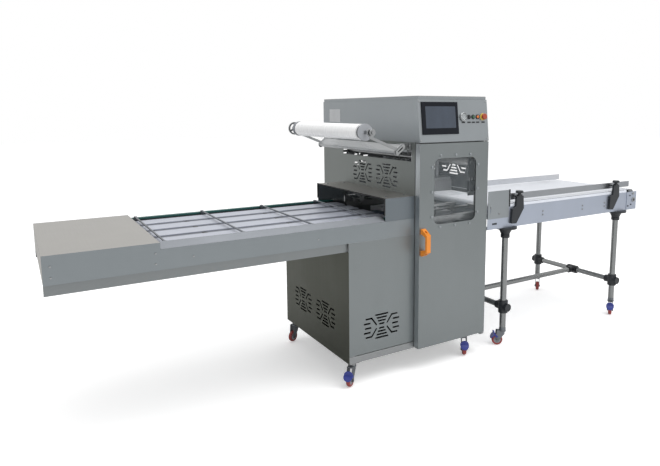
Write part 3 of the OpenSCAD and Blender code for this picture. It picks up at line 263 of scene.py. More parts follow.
sheet_upright = brushed("sheet_upright", linear(148, 153, 156), 0.42, ALONG_Z)
sheet_door = brushed("sheet_door", linear(129, 134, 135), 0.40, ALONG_Z, 1.4)
# A lighter copy of the door's sheet for its folded left edge: a painted highlight.
fold_highlight = brushed("fold_highlight", linear(180, 185, 188), 0.44, ALONG_Z)
# A darker copy of the upright sheet for the left lower skin: painted shade on that side.
shaded_left_sheet = brushed("shaded_left_sheet", linear(76, 78, 70), 0.48, ALONG_Z, 1.3)
# A darker copy for the upper left wall: painted shade on that side as well.
shaded_left_wall = brushed("shaded_left_wall", linear(124, 128, 126), 0.44, ALONG_Z)
sheet_hood = brushed("sheet_hood", linear(116, 123, 128), 0.42, ALONG_X)
sheet_long = brushed("sheet_long", linear(136, 142, 145), 0.40, ALONG_X)
sheet_band = brushed("sheet_band", linear(132, 136, 137), 0.44, ALONG_X)
# A lighter copy brushed across, for the head's lid, the infeed's cover and the hood's top: painted light on faces
# that look up.
lit_top_sheet = brushed("lit_top_sheet", linear(163, 161, 157), 0.45, ALONG_Y)
bar_steel = brushed("bar_steel", linear(160, 162, 163), 0.34, ALONG_Y, 0.6)
bar_dull = brushed("bar_dull", linear(112, 116, 122), 0.40, ALONG_Y, 0.6)
post_steel = brushed("post_steel", linear(150, 152, 153), 0.36, ALONG_Z, 0.6)
leg_steel = brushed("leg_steel", linear(136, 138, 138), 0.26, ALONG_Z, 0.8)
# The far guide rail's steel, painted lighter than the near one: painted light.
rail_lit = brushed("rail_lit", linear(214, 216, 220), 0.34, ALONG_X, 0.5)
lane_steel = brushed("lane_steel", linear(174, 181, 194), 0.42, ALONG_X, 0.7)
# A darker copy of the infeed skin's steel for its sloping cap: painted shade.
cap_shaded = brushed("cap_shaded", linear(112, 115, 119), 0.46, ALONG_X, 0.7)
pan_steel = brushed("pan_steel", linear(140, 143, 150), 0.46, ALONG_X, 0.7)
# The near guide rail's steel, painted darker than the far one: painted shade.
rail_shaded = brushed("rail_shaded", linear(158, 161, 165), 0.36, ALONG_X, 0.6)
print("finishes so far:", Finish.made)

# %% [markdown]
# Cast and machined pieces are plainer. Tool marks on aluminium are short and cross-hatched,
# so two noises at right angles are multiplied. Zinc plate on the casters has a crystalline
# mottle, for which a Voronoi pattern is the usual choice. Paint has the fine orange peel of
# a spray gun. Each takes about its noises' mean off again, so that the roughness asked for
# is near the middle of what the surface gets.


# %% Machined, plated and painted metal
def machined(name, colour, roughness, metallic=0.95):
    metal = Finish(name, colour, roughness, Metallic=metallic)
    along = metal.noise(metal.stretched((30, 600, 600)))
    lines = along * metal.noise(metal.stretched((600, 30, 600)))
    cloud = metal.noise(metal.place(), scale=5.0)
    metal.mottle(cloud, colour, dark=0.86, light=1.08)
    metal.feed("Roughness", lines * 0.5 + cloud * 0.1 + roughness - 0.17)
    metal.bump(lines, depth=0.0003, strength=0.4)
    return metal.material


def zinc(name, colour, roughness):
    plate = Finish(name, colour, roughness, Metallic=0.85)
    crystals = plate.node("ShaderNodeTexVoronoi", values={"Vector": plate.place(), "Scale": 160.0})
    grime = plate.noise(plate.place(), scale=26.0)
    plate.mottle(crystals * 0.6 + grime * 0.4, colour, dark=0.7, light=1.15)
    plate.feed("Roughness", grime * 0.3 + roughness - 0.12)
    plate.bump(crystals, depth=0.0002, strength=0.3)
    return plate.material


def painted(name, colour, roughness):
    paint = Finish(name, colour, roughness, Coat_Weight=0.25)
    peel = paint.noise(paint.place(), scale=240.0, detail=2.0)
    dust = paint.noise(paint.place(), scale=9.0)
    paint.mottle(dust, colour, dark=0.9, light=1.1)
    paint.feed("Roughness", dust * 0.2 + roughness - 0.1)
    paint.bump(peel, depth=0.0004, strength=0.25)
    return paint.material


aluminium = machined("aluminium", linear(172, 176, 180), 0.36)
mould_face = machined("mould_face", linear(196, 199, 203), 0.46, 0.25)
caster_zinc = zinc("caster_zinc", linear(122, 126, 130), 0.42)
chain_steel = machined("chain_steel", linear(74, 76, 80), 0.38)
motor_paint = painted("motor_paint", linear(76, 88, 104), 0.42)
valve_paint = painted("valve_paint", linear(34, 36, 40), 0.38)
print("finishes so far:", Finish.made)

# %% [markdown]
# Moulded plastic and rubber have no grain of their own. What the eye reads is the mould's
# spark-eroded texture, a fine even bump, and the dust and handling that make the gloss
# uneven. One function serves them all, with the colour, the gloss and the bump's size.

# %% Plastic and rubber
GLOSS_SWING = 0.16


def moulded(name, colour, roughness, bump_scale=900.0, bump_depth=0.00015, **fixed):
    plastic = Finish(name, colour, roughness, **fixed)
    texture = plastic.noise(plastic.place(), scale=bump_scale, detail=2.0)
    dust = plastic.noise(plastic.place(), scale=14.0, detail=4.0)
    plastic.mottle(dust, colour, dark=0.86, light=1.12)
    plastic.feed("Roughness", (dust - 0.5) * GLOSS_SWING + roughness)
    plastic.bump(texture, depth=bump_depth, strength=0.5)
    return plastic.material


black_plastic = moulded("black_plastic", linear(26, 30, 35), 0.42)
black_rubber = moulded("black_rubber", linear(26, 27, 29), 0.65, 500.0, 0.0003)
bezel_plastic = moulded("bezel_plastic", linear(14, 18, 26), 0.45, Specular_IOR_Level=0.18)
orange_plastic = moulded("orange_plastic", linear(232, 140, 44), 0.30)
red_plastic = moulded("red_plastic", linear(160, 66, 42), 0.30)
yellow_plastic = moulded("yellow_plastic", linear(222, 196, 84), 0.35)
lamp_plastic = moulded("lamp_plastic", linear(206, 112, 48), 0.22)
green_button = moulded("green_button", linear(52, 92, 66), 0.30)
black_button = moulded("black_button", linear(28, 30, 34), 0.28)
pedal_blue = moulded("pedal_blue", linear(48, 60, 140), 0.36)
wheel_red = moulded("wheel_red", linear(150, 62, 58), 0.38)
hub_grey = moulded("hub_grey", linear(150, 152, 158), 0.40)
guide_green = moulded("guide_green", linear(30, 84, 80), 0.45)
slat_white = moulded("slat_white", linear(168, 172, 183), 0.40, 300.0, 0.0002)
chuck_grey = moulded("chuck_grey", linear(160, 163, 168), 0.38)
strip_white = moulded("strip_white", linear(222, 226, 234), 0.42, 300.0, 0.0002)
label_plain = moulded("label_plain", linear(196, 198, 200), 0.40)
core_grey = moulded("core_grey", linear(92, 94, 98), 0.60, 260.0, 0.0003)
print("finishes so far:", Finish.made)

# %% [markdown]
# The belt is a coated fabric, whose weave shows through as a fine square pattern. The film
# is a glossy wound web: its turns are thin rings on the end of a roll, and one layer of it
# lets light through. The window's pane and the gauge's lens are clear plastic, a little
# scuffed. The screen is dark glass that has been wiped.


# %% Belt, film, pane and screen
def woven_belt(name, colour):
    belt = Finish(name, colour, 0.46)
    waves = []
    for direction in ("X", "Y"):
        waves.append(belt.node("ShaderNodeTexWave", {"bands_direction": direction},
                               {"Vector": belt.place(), "Scale": 90.0}))
    weave = waves[0] * waves[1]
    stain = belt.noise(belt.place(), scale=3.0, detail=4.0)
    belt.mottle(stain * 0.7 + weave * 0.3, colour, dark=0.90, light=1.05)
    belt.feed("Roughness", stain * 0.2 + 0.36)
    belt.bump(weave, depth=0.0003, strength=0.3)
    return belt.material


def wound_film(name, colour, opacity):
    film = Finish(name, colour, 0.24, Coat_Weight=0.3)
    turns = film.noise(film.stretched((14, 260, 14)))
    cloud = film.noise(film.place(), scale=7.0)
    film.mottle(turns * 0.6 + cloud * 0.4, colour, dark=0.94, light=1.06)
    film.feed("Roughness", turns * 0.24 + 0.14)
    film.bump(turns, depth=0.0004, strength=0.3)
    if opacity < 1:
        film.feed("Alpha", cloud * 0.2 + (opacity - 0.1))
    return film.material


def wound_end(name, colour, middle):
    """The end of a roll: thin rings round its middle, which is given as a point."""
    film = Finish(name, colour, 0.5)
    offset = film.node("ShaderNodeMapping", {"vector_type": "POINT"}, {
        "Vector": film.place(), "Location": (-middle.x, 0, -middle.z), "Scale": (1, 0, 1)})
    rings = film.node("ShaderNodeTexWave", {"wave_type": "RINGS", "rings_direction": "Y"},
                      {"Vector": offset, "Scale": 130.0, "Distortion": 1.2, "Detail": 2.0})
    film.mottle(rings, colour, dark=0.72, light=1.05)
    film.feed("Roughness", rings * 0.2 + 0.4)
    film.bump(rings, depth=0.0003, strength=0.4)
    return film.material


def clear_pane(name, colour, opacity):
    pane = Finish(name, colour, 0.08)
    scuff = pane.noise(pane.stretched((60, 60, 8)), detail=5.0, rough=0.7)
    pane.feed("Alpha", scuff * 0.10 + (opacity - 0.05))
    pane.feed("Roughness", scuff * 0.16 + 0.02)
    return pane.material


def dark_glass(name, colour):
    glass = Finish(name, colour, 0.10, Coat_Weight=0.2)
    wipe = glass.noise(glass.stretched((26, 26, 9)), detail=4.0)
    glass.mottle(wipe, colour, dark=0.82, light=1.2)
    glass.feed("Roughness", wipe * 0.2 + 0.04)
    return glass.material


belt_white = woven_belt("belt_white", linear(206, 209, 215))
film_roll_finish = wound_film("film_roll_finish", linear(254, 255, 255), 1.0)
film_web_finish = wound_film("film_web_finish", linear(226, 230, 234), 0.12)
pane_finish = clear_pane("pane_finish", linear(150, 158, 162), 0.10)
screen_glass = dark_glass("screen_glass", linear(50, 60, 74))
lens_glass = clear_pane("lens_glass", linear(220, 226, 228), 0.2)
print("finishes so far:", Finish.made)

# %% [markdown]
# Every finished piece is a copy of its node. The copy is merged, its flat triangles become
# whole faces, and its sharp edges get a narrow bevel, because a real edge is never razor
# sharp and catches the light. The cabinet's cut sheet is almost sharp and takes one flat
# step. A bar or a block is rounder, and the door's handle is the roundest of all. The bevel
# would bend the shading of the broad faces beside it, so the normals are then weighted by
# area, which keeps sheets flat and leaves the roundness to the bevel.

# %% Copies with eased edges
SHARP = 0
FINE_EDGE = 0.0004
SHEET_EDGE = 0.0005
FOLD_EDGE = 0.0006
BAR_EDGE = 0.0008
PLATE_EDGE = 0.0010
BLOCK_EDGE = 0.0012
CASTING_EDGE = 0.0015
SCREEN_EDGE = 0.002
HANDLE_EDGE = 0.006
MERGE_WITHIN = 0.00001
FLAT_WITHIN = math.radians(0.5)
EASED_OVER = math.radians(40)
SMOOTH_UNDER = math.radians(35)
AREA_WEIGHT = 100


def only(piece):
    bpy.ops.object.select_all(action="DESELECT")
    piece.select_set(True)
    bpy.context.view_layer.objects.active = piece


def body_name(node):
    for name, members in frame["record"]["behaviour"]["bodies"].items():
        if node in members:
            return name


def slot_of(node):
    for row in frame["record"]["subparts"]:
        if row["node"] == node:
            return row["material_slot"]


def adopt(piece, node, replace=True):
    """Makes a piece move with the node's body."""
    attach(piece, body_name(node))
    slot_of(node)
    if replace:
        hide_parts(node)


def eased(node, width, finish, steps=2):
    """A copy of a node with whole faces and eased edges, which replaces the node."""
    mesh = frame["nodes"][node].data.copy()
    mesh.materials.clear()
    piece = bpy.data.objects.new(node + "_finished", mesh)
    bpy.context.scene.collection.objects.link(piece)
    only(piece)
    bpy.ops.object.mode_set(mode="EDIT")
    bpy.ops.mesh.select_all(action="SELECT")
    bpy.ops.mesh.remove_doubles(threshold=MERGE_WITHIN)
    bpy.ops.mesh.dissolve_limited(angle_limit=FLAT_WITHIN)
    bpy.ops.object.mode_set(mode="OBJECT")
    if width:
        ease = piece.modifiers.new("ease", "BEVEL")
        ease.width = width
        ease.segments = steps
        ease.limit_method = "ANGLE"
        ease.angle_limit = EASED_OVER
        bpy.ops.object.modifier_apply(modifier="ease")
    bpy.ops.object.shade_smooth_by_angle(angle=SMOOTH_UNDER)
    level = piece.modifiers.new("level", "WEIGHTED_NORMAL")
    level.keep_sharp = True
    level.weight = AREA_WEIGHT
    bpy.ops.object.modifier_apply(modifier="level")
    mesh.materials.append(finish)
    adopt(piece, node)
    return piece


print("edges are eased by", FINE_EDGE * 1000, "to", HANDLE_EDGE * 1000, "mm")

# %% [markdown]
# A node can hold several solids in different finishes, such as a panel and its screws. The
# sorter below finds each connected solid of a copy, and a rule that looks at its lowest and
# highest corner chooses its finish. Single faces are painted by a second helper, where one
# side of a sheet looks different from the rest.

# %% Finishes by size and place
FACING = 0.9


def solids(piece):
    """The connected solids of a mesh: their face numbers, lowest and highest corner."""
    mesh = piece.data
    leader = list(range(len(mesh.vertices)))

    def root(v):
        while leader[v] != v:
            leader[v] = leader[leader[v]]
            v = leader[v]
        return v

    for edge in mesh.edges:
        first, second = (root(v) for v in edge.vertices)
        leader[second] = first
    groups = {}
    for face in mesh.polygons:
        groups.setdefault(root(face.vertices[0]), []).append(face.index)
    found = []
    for faces in groups.values():
        points = [mesh.vertices[v].co for f in faces for v in mesh.polygons[f].vertices]
        low = Vector([min(p[i] for p in points) for i in range(3)])
        high = Vector([max(p[i] for p in points) for i in range(3)])
        found.append((faces, low, high))
    return found


def finish_number(mesh, finish):
    if finish.name not in mesh.materials:
        mesh.materials.append(finish)
    return mesh.materials.find(finish.name)


def refinish(piece, choose):
    """Gives each solid of a piece the finish that choose(low, high) returns, or leaves it."""
    mesh = piece.data
    changed = 0
    for faces, low, high in solids(piece):
        finish = choose(low, high)
        if finish is None:
            continue
        number = finish_number(mesh, finish)
        for face in faces:
            mesh.polygons[face].material_index = number
        changed += 1
    return changed


def paint_faces(piece, finish, test):
    """Gives a finish to the faces whose middle and outward normal pass a test."""
    number = finish_number(piece.data, finish)
    changed = 0
    for face in piece.data.polygons:
        if test(face.center, face.normal):
            face.material_index = number
            changed += 1
    return changed


print("a face looks one way where that part of its normal is over", FACING)

# %% [markdown]
# The cabinet is folded sheet over a tube frame. The frame mostly hides, but it shows through
# the window, so it gets its finish too. Side walls were brushed upright before folding. The
# left wall is the only lower skin that stands across X, so it is the one that is thin that
# way. Both left walls are painted darker than the other sheet, as painted shade. The head's
# lid ends at the machine's top, and its rating plate is thinner than sheet.

# %% Cabinet
ONE_SHEET = 0.003
RATING_PLATE = 0.0015
LID_REACH = 0.002
DOOR_FOLD = 0.001

eased("base_frame", SHEET_EDGE, post_steel, steps=1)
skins = eased("lower_panels", SHEET_EDGE, sheet_upright, steps=1)
# The left skin takes the darker sheet: painted shade.
print("lower skins:", refinish(
    skins, lambda low, high: shaded_left_sheet if high.x - low.x < ONE_SHEET else sheet_door))
eased("upper_rear_shell", SHEET_EDGE, sheet_upright, steps=1)
eased("right_panel", SHEET_EDGE, sheet_upright, steps=1)
# The upper left wall takes the darker sheet: painted shade.
eased("upper_left_panel", SHEET_EDGE, shaded_left_wall, steps=1)
head = eased("head_shell", BLOCK_EDGE, sheet_upright)


# The lid, on top, is painted lighter, as painted light.
def head_finish(low, high):
    if high.z > cad_high.z - LID_REACH:
        return lit_top_sheet
    if high.x - low.x < RATING_PLATE:
        return label_plain


print("head solids refinished:", refinish(head, head_finish))
door = eased("door_leaf", PLATE_EDGE, sheet_door)
fold_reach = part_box("door_leaf")[0].x + DOOR_FOLD
# The door's folded left edge is painted lighter, as a painted highlight.
print("door edge faces:", paint_faces(
    door, fold_highlight, lambda at, out: out.x < -FACING and at.x < fold_reach))
eased("door_hinges", FINE_EDGE, bar_steel)

# %% [markdown]
# The door's window is a clear pane clamped by cap nuts, with a rubber seal between pane and
# sheet. The bolts are narrow, the seal is the one that is thin, and what is left is the
# pane. The handle is one orange moulding on two steel studs, which are far shorter.

# %% Window and handle
BOLT_WIDTH = 0.1
SEAL_DEPTH = 0.004
STUD_HEIGHT = 0.03

window = eased("door_window", FOLD_EDGE, pane_finish)


def window_finish(low, high):
    if high.x - low.x < BOLT_WIDTH:
        return sheet_upright
    if high.y - low.y < SEAL_DEPTH:
        return black_rubber


print("window solids refinished:", refinish(window, window_finish))
handle = eased("door_handle", HANDLE_EDGE, orange_plastic, steps=4)
print("handle solids refinished:", refinish(
    handle, lambda low, high: bar_steel if high.z - low.z < STUD_HEIGHT else None))

# %% [markdown]
# The control panel leans back. Its sheet carries screws, the lamp, a label plate under each
# control and a collar round each one, all told apart by their width and height. The collar
# of the emergency stop is the yellow one, and it is the last along the panel. The touch
# screen is a shallow pane of dark glass, let into a black bezel.

# %% Controls
PANEL_WIDTH = 0.1
SCREW_WIDTH = 0.012
LAMP_WIDTH = 0.019
LABEL_HEIGHT = 0.010
LAST_CONTROL = 0.48
GLASS_DEPTH = 0.03

for node, finish in (("start_button", black_button), ("stop_button", green_button),
                     ("emergency_stop", red_plastic)):
    eased(node, BAR_EDGE, finish)
controls = eased("control_panel", FINE_EDGE, sheet_upright)
panel_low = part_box("control_panel")[0]


def control_finish(low, high):
    wide = high.x - low.x
    across = (low.x + high.x) / 2 - panel_low.x
    if wide > PANEL_WIDTH:
        return None
    if wide < SCREW_WIDTH:
        return bar_steel
    if wide < LAMP_WIDTH:
        return lamp_plastic
    if high.z - low.z < LABEL_HEIGHT:
        return black_plastic
    return yellow_plastic if across > LAST_CONTROL else black_plastic


print("control solids refinished:", refinish(controls, control_finish))
screen = eased("touch_panel", SCREEN_EDGE, bezel_plastic, steps=3)
print("screen solids refinished:", refinish(
    screen, lambda low, high: screen_glass if high.y - low.y < GLASS_DEPTH else None))

# %% [markdown]
# The vacuum gauge is a steel case with a pale face, a black needle on its hub and a lens.
# Face and lens are discs of the same width, and the lens is the one in front.

# %% Gauge
CASE_WIDTH = 0.05
NEEDLE_WIDTH = 0.03
LENS_REACH = 0.0105

gauge = eased("vacuum_gauge", FINE_EDGE, bar_steel)
lens_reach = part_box("vacuum_gauge")[0].y + LENS_REACH


def gauge_finish(low, high):
    wide = high.x - low.x
    if wide > CASE_WIDTH:
        return None
    if wide < NEEDLE_WIDTH:
        return black_plastic
    return lens_glass if low.y < lens_reach else label_plain


print("gauge solids refinished:", refinish(gauge, gauge_finish))

# %% [markdown]
# A dial without marks looks unfinished. Its marks are thin plates, every second one longer,
# set round the dial's middle in the plane of the leaning panel. On the real dial they are
# printed, so they stand out by less than a tenth of a millimetre. Each starts as a cube of
# the right size, and all are joined into one piece.

# %% Gauge marks
LEAN = math.radians(6.71)
DIAL_WIDTHS = (0.043, 0.045)
MARK_COUNT = 11
MARK_SWEEP = math.radians(270)
MARK_OUTER = 0.0205
LONG_MARK = 0.0045
SHORT_MARK = 0.003
MARK_WIDTH = 0.0009
MARK_THICKNESS = 0.0001
MARK_LIFT = 0.00052

panel_plane = Matrix.Rotation(math.radians(90) - LEAN, 4, "X")
dials = [(low, high) for faces, low, high in solids(gauge)
         if DIAL_WIDTHS[0] < high.x - low.x < DIAL_WIDTHS[1]]
dial_low, dial_high = max(dials, key=lambda box: box[0].y)
dial_place = Matrix.Translation((dial_low + dial_high) / 2) @ panel_plane
marks = []
for i in range(MARK_COUNT):
    length = LONG_MARK if i % 2 == 0 else SHORT_MARK
    angle = MARK_SWEEP * (i / (MARK_COUNT - 1) - 0.5)
    bpy.ops.mesh.primitive_cube_add(size=1)
    mark = bpy.context.object
    outwards = Matrix.Translation((0, MARK_OUTER - length / 2, MARK_LIFT))
    size = Matrix.Diagonal((MARK_WIDTH, length, MARK_THICKNESS, 1))
    mark.data.transform(dial_place @ Matrix.Rotation(angle, 4, "Z") @ outwards @ size)
    marks.append(mark)
bpy.ops.object.select_all(action="DESELECT")
for mark in marks:
    mark.select_set(True)
bpy.context.view_layer.objects.active = marks[0]
bpy.ops.object.join()
marks[0].name = "gauge_marks"
marks[0].data.materials.append(black_plastic)
adopt(marks[0], "vacuum_gauge", replace=False)
print("marks:", MARK_COUNT, "on a dial", round((dial_high.x - dial_low.x) * 1000, 1), "mm across")

# %% [markdown]
# Film gear: the cradle, the guide tube and the handwheel are bare steel, and the chucks that
# grip the roll's core are grey plastic. They are the widest solids on the spindle, and the
# core is the narrow one in the roll. The roll's ends show its turns as rings, outside the
# core. The waste reel is wound with the same film, on a steel spindle longer than the reel.

# %% Film gear
CHUCK_WIDTH = 0.09
CORE_WIDTH = 0.08
CORE_RADIUS = 0.037
REEL_SPINDLE = 0.83

eased("film_cradle", BAR_EDGE, bar_steel)
eased("film_guide_bar", BAR_EDGE, bar_steel)
spindle = eased("film_shaft", BAR_EDGE, bar_steel)
print("chucks:", refinish(
    spindle, lambda low, high: chuck_grey if high.x - low.x > CHUCK_WIDTH else None))
roll = eased("film_roll", PLATE_EDGE, film_roll_finish)
refinish(roll, lambda low, high: core_grey if high.x - low.x < CORE_WIDTH else None)
roll_low, roll_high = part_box("film_roll")
roll_middle = (roll_low + roll_high) / 2
roll_end = wound_end("roll_edge", linear(206, 210, 214), roll_middle)
print("roll end faces:", paint_faces(
    roll, roll_end,
    lambda at, out: abs(out.y) > FACING and (at - roll_middle).xz.length > CORE_RADIUS))
web = eased("film_web", SHARP, film_web_finish)
winder = eased("waste_winder", FOLD_EDGE, film_roll_finish)
refinish(winder, lambda low, high: bar_steel if high.y - low.y > REEL_SPINDLE else None)

# %% [markdown]
# The press stands behind the window: machined plates and moulds on ground columns. The
# plates are the solids that are broad both ways. With the motors goes the valve block,
# whose black bodies are narrow and tall, with short steel fittings on top and a flat
# aluminium base below. The gearmotor's end cap is as narrow, and turns black with them.

# %% Press and drives
PLATE_SPAN = 0.3
VALVE_WIDTH = 0.016
VALVE_HEIGHT = 0.05
BASE_HEIGHT = 0.013

press = eased("press_frame", BAR_EDGE, bar_steel)
print("press plates:", refinish(
    press, lambda low, high: aluminium if min((high - low).xy) > PLATE_SPAN else None))
eased("upper_mould", BLOCK_EDGE, mould_face)
eased("lower_mould", BLOCK_EDGE, mould_face)
eased("transfer_rails", FOLD_EDGE, bar_steel)
motors = eased("drive_motors", CASTING_EDGE, motor_paint)


def motor_finish(low, high):
    wide, tall = (high - low).xz
    if wide < VALVE_WIDTH:
        return valve_paint if tall > VALVE_HEIGHT else bar_steel
    if tall < BASE_HEIGHT:
        return aluminium


print("valve and motor solids refinished:", refinish(motors, motor_finish))

# %% [markdown]
# The infeed is one long folded trough. Its skins are brushed along their length, and the
# cover at its tail is brushed across and painted lighter than them, as painted light on a
# top. The sloping cap on the near skin is painted darker than the skin, as painted shade. It
# is found by its faces, which look forward and up at once, as a few eased edges beside it do
# too.

# %% Infeed skins
WHOLE_LENGTH = 1
BAND_TOP = 0.81
SKIN_SCREW = 0.02
SLOPING = 0.3


def band_finish(low, high):
    if high.x - low.x > WHOLE_LENGTH and low.z < BAND_TOP:
        return sheet_band
    if high.x - low.x < SKIN_SCREW:
        return bar_steel


near_skin = eased("infeed_near_panel", FOLD_EDGE, sheet_long)
print("near skin solids refinished:", refinish(near_skin, band_finish))
# The sloping cap's faces are painted darker, as painted shade.
print("cap faces:", paint_faces(
    near_skin, cap_shaded, lambda at, out: out.y < -SLOPING and out.z > SLOPING))
far_skin = eased("infeed_far_panel", FOLD_EDGE, sheet_long)
print("far skin solids refinished:", refinish(far_skin, band_finish))
eased("infeed_cover", PLATE_EDGE, lit_top_sheet)

# %% [markdown]
# Between the skins lie the white slats that the bowls slide on, over a thin steel pan, with
# green chain guides along both sides. Black strips and steel cross tubes are the short
# solids. The tunnel's hood has a rubber lip at its mouth and a top that is brushed across and
# painted lighter than the rest of the hood, as painted light.

# %% Infeed bed, chains and hood
GUIDE_HEIGHT = 0.01
LIP_WIDTH = 0.008
HOOD_TOP = 1.0

bed = eased("infeed_bed", BLOCK_EDGE, slat_white)


def bed_finish(low, high):
    tall = high.z - low.z
    if high.x - low.x > WHOLE_LENGTH:
        return guide_green if tall > GUIDE_HEIGHT else pan_steel if tall < ONE_SHEET else None
    return black_plastic if tall < ONE_SHEET else bar_steel


print("bed solids refinished:", refinish(bed, bed_finish))
eased("infeed_chains", SHARP, chain_steel)
eased("pusher_bars", SHEET_EDGE, bar_dull)
eased("infeed_drive_shaft", SHEET_EDGE, chain_steel)
eased("infeed_tail_shaft", SHEET_EDGE, chain_steel)
hood = eased("tunnel_hood", FOLD_EDGE, sheet_hood)
print("hood solids refinished:", refinish(
    hood, lambda low, high: black_rubber if high.x - low.x < LIP_WIDTH else None))
print("hood top faces:", paint_faces(
    hood, lit_top_sheet, lambda at, out: out.z > FACING and at.z > HOOD_TOP))

# %% [markdown]
# The outfeed has cold, bluish skins, a white belt and black fittings. Of the frame's short
# solids, the guards' rubber edges are narrow and tall, the guards are the tallest, and the
# bolts are small every way. The plug behind the slot is thin. The white strips lie high up
# along the whole belt, and what runs from side to side is plain steel.

# %% Outfeed frame and belt
RUBBER_WIDTH = 0.009
RUBBER_HEIGHT = 0.05
GUARD_WIDTH = 0.2
GUARD_HEIGHT = 0.15
BOLT_HEAD = 0.013
PLUG_WIDTH = 0.06
PLUG_DEPTH = 0.005
STRIP_FOOT = 0.96
STRIP_DEPTH = 0.014
CROSS_DEPTH = 0.5

outfeed = eased("outfeed_frame", FOLD_EDGE, lane_steel)


def outfeed_finish(low, high):
    wide, deep, tall = high - low
    if wide < RUBBER_WIDTH and tall > RUBBER_HEIGHT:
        return black_rubber
    if wide < GUARD_WIDTH and tall > GUARD_HEIGHT:
        return sheet_upright
    if wide < BOLT_HEAD:
        return post_steel
    if wide < PLUG_WIDTH and deep < PLUG_DEPTH:
        return black_plastic
    if wide > WHOLE_LENGTH and low.z > STRIP_FOOT and deep < STRIP_DEPTH:
        return strip_white
    if deep > CROSS_DEPTH:
        return bar_steel


print("outfeed solids refinished:", refinish(outfeed, outfeed_finish))
eased("outfeed_belt", FINE_EDGE, belt_white)
eased("outfeed_drive_roller", FOLD_EDGE, bar_steel)
eased("outfeed_tail_roller", FOLD_EDGE, bar_steel)

# %% [markdown]
# The legs are round tubes in black brackets and clamps. A tube is told from a clamp by
# being tall, or thinner and lower than any clamp where it lies flat. The mounts of the
# casters are the lowest solids. Of the two guide rails, the far one is painted lighter and
# the near one darker, as painted light and shade.

# %% Legs and guide rails
LEG_HEIGHT = 0.3
STRETCHER = 0.039
MOUNT_TOP = 0.14
RAIL_LENGTH = 0.5

legs = eased("outfeed_legs", FOLD_EDGE, black_plastic)


def leg_finish(low, high):
    wide, deep, tall = high - low
    if tall > LEG_HEIGHT or (min(wide, deep) < STRETCHER and tall < STRETCHER):
        return leg_steel
    if high.z < MOUNT_TOP:
        return caster_zinc


print("leg solids refinished:", refinish(legs, leg_finish))
rails = eased("guide_rails", FOLD_EDGE, black_plastic)


# The far rail takes the lighter steel and the near rail the darker, as painted light and shade.
def rail_finish(low, high):
    if high.x - low.x > RAIL_LENGTH:
        return rail_lit if low.y > 0 else rail_shaded


print("rail solids refinished:", refinish(rails, rail_finish))
eased("left_knob", BAR_EDGE, black_plastic)
eased("right_knob", BAR_EDGE, black_plastic)

# %% [markdown]
# The block at the belt's far end is plain in the construction. In the photograph a bearing
# cover and three cap screws stand on its near side. They are turned pieces, so each starts
# as a cylinder lying along Y on the block's face, with a bevel for the chamfer that a lathe
# leaves. A smaller, darker disc on the cover is its hub. On each screw a black disc is
# painted shade, standing for the hollow of its socket. Places are metres along X and Z from
# the block's far, low corner. The frame's own bolts stand out further than the block, so its
# near side lies that much behind the frame's box.

# %% Bearing cover and screws
BOLTS_PAST_BLOCK = 0.0035
frame_low, frame_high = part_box("outfeed_frame")
BLOCK_NEAR = frame_low.y + BOLTS_PAST_BLOCK
BLOCK_END = frame_high.x
BLOCK_FOOT = frame_low.z
COVER_PLACE = (-0.036, 0.075)
SCREW_PLACES = ((-0.081, 0.109), (-0.064, 0.039), (-0.100, 0.030))
COVER_RADIUS = 0.019
COVER_OUT = 0.004
HUB_RADIUS = 0.010
HUB_OUT = 0.0052
SCREW_RADIUS = 0.0058
SCREW_OUT = 0.0034
# The black disc on each screw is painted shade for its socket's hollow.
SOCKET_SHADE_RADIUS = 0.0026
SOCKET_SHADE_OUT = 0.0036
DISC_SIDES = 48
CHAMFER_SHARE = 0.25
CHAMFER_STEPS = 2


def turned(place, radius, start, out, finish):
    """A chamfered disc before the block's near side, from one distance out to another."""
    bpy.ops.object.select_all(action="DESELECT")
    bpy.ops.mesh.primitive_cylinder_add(vertices=DISC_SIDES, radius=radius, depth=out - start)
    disc = bpy.context.object
    spot = Vector((BLOCK_END + place[0], BLOCK_NEAR - (start + out) / 2, BLOCK_FOOT + place[1]))
    disc.data.transform(Matrix.Translation(spot) @ Matrix.Rotation(math.radians(90), 4, "X"))
    chamfer = disc.modifiers.new("chamfer", "BEVEL")
    chamfer.width = (out - start) * CHAMFER_SHARE
    chamfer.segments = CHAMFER_STEPS
    chamfer.limit_method = "ANGLE"
    bpy.ops.object.modifier_apply(modifier="chamfer")
    bpy.ops.object.shade_smooth_by_angle(angle=SMOOTH_UNDER)
    disc.data.materials.append(finish)
    return disc


fittings = [turned(COVER_PLACE, COVER_RADIUS, 0, COVER_OUT, bar_steel),
            turned(COVER_PLACE, HUB_RADIUS, COVER_OUT, HUB_OUT, chain_steel)]
for place in SCREW_PLACES:
    fittings.append(turned(place, SCREW_RADIUS, 0, SCREW_OUT, chain_steel))
    # On each screw a black disc is painted shade for the hollow of its socket.
    fittings.append(turned(place, SOCKET_SHADE_RADIUS, SCREW_OUT, SOCKET_SHADE_OUT, black_plastic))
for i, fitting in enumerate(fittings):
    fitting.name = "block_fitting_" + str(i + 1)
    adopt(fitting, "outfeed_frame", replace=False)
print("fittings on the end block:", len(fittings))

# %% [markdown]
# Casters are small, but they carry the eye to the floor: red tread on a grey hub in a zinc
# fork, with a blue pedal on the four near ones. The pedal is the broad solid at the fork's
# middle height. Tread and hub are one moulding here, so their faces are told apart by their
# distance from the axle.

# %% Casters
PEDAL_FOOT = 0.034
PEDAL_TOP = 0.11
PEDAL_WIDTH = 0.035
WHEEL_HUB_RADIUS = 0.0245


def fork_finish(low, high):
    if low.z > PEDAL_FOOT and high.z < PEDAL_TOP and high.x - low.x > PEDAL_WIDTH:
        return pedal_blue


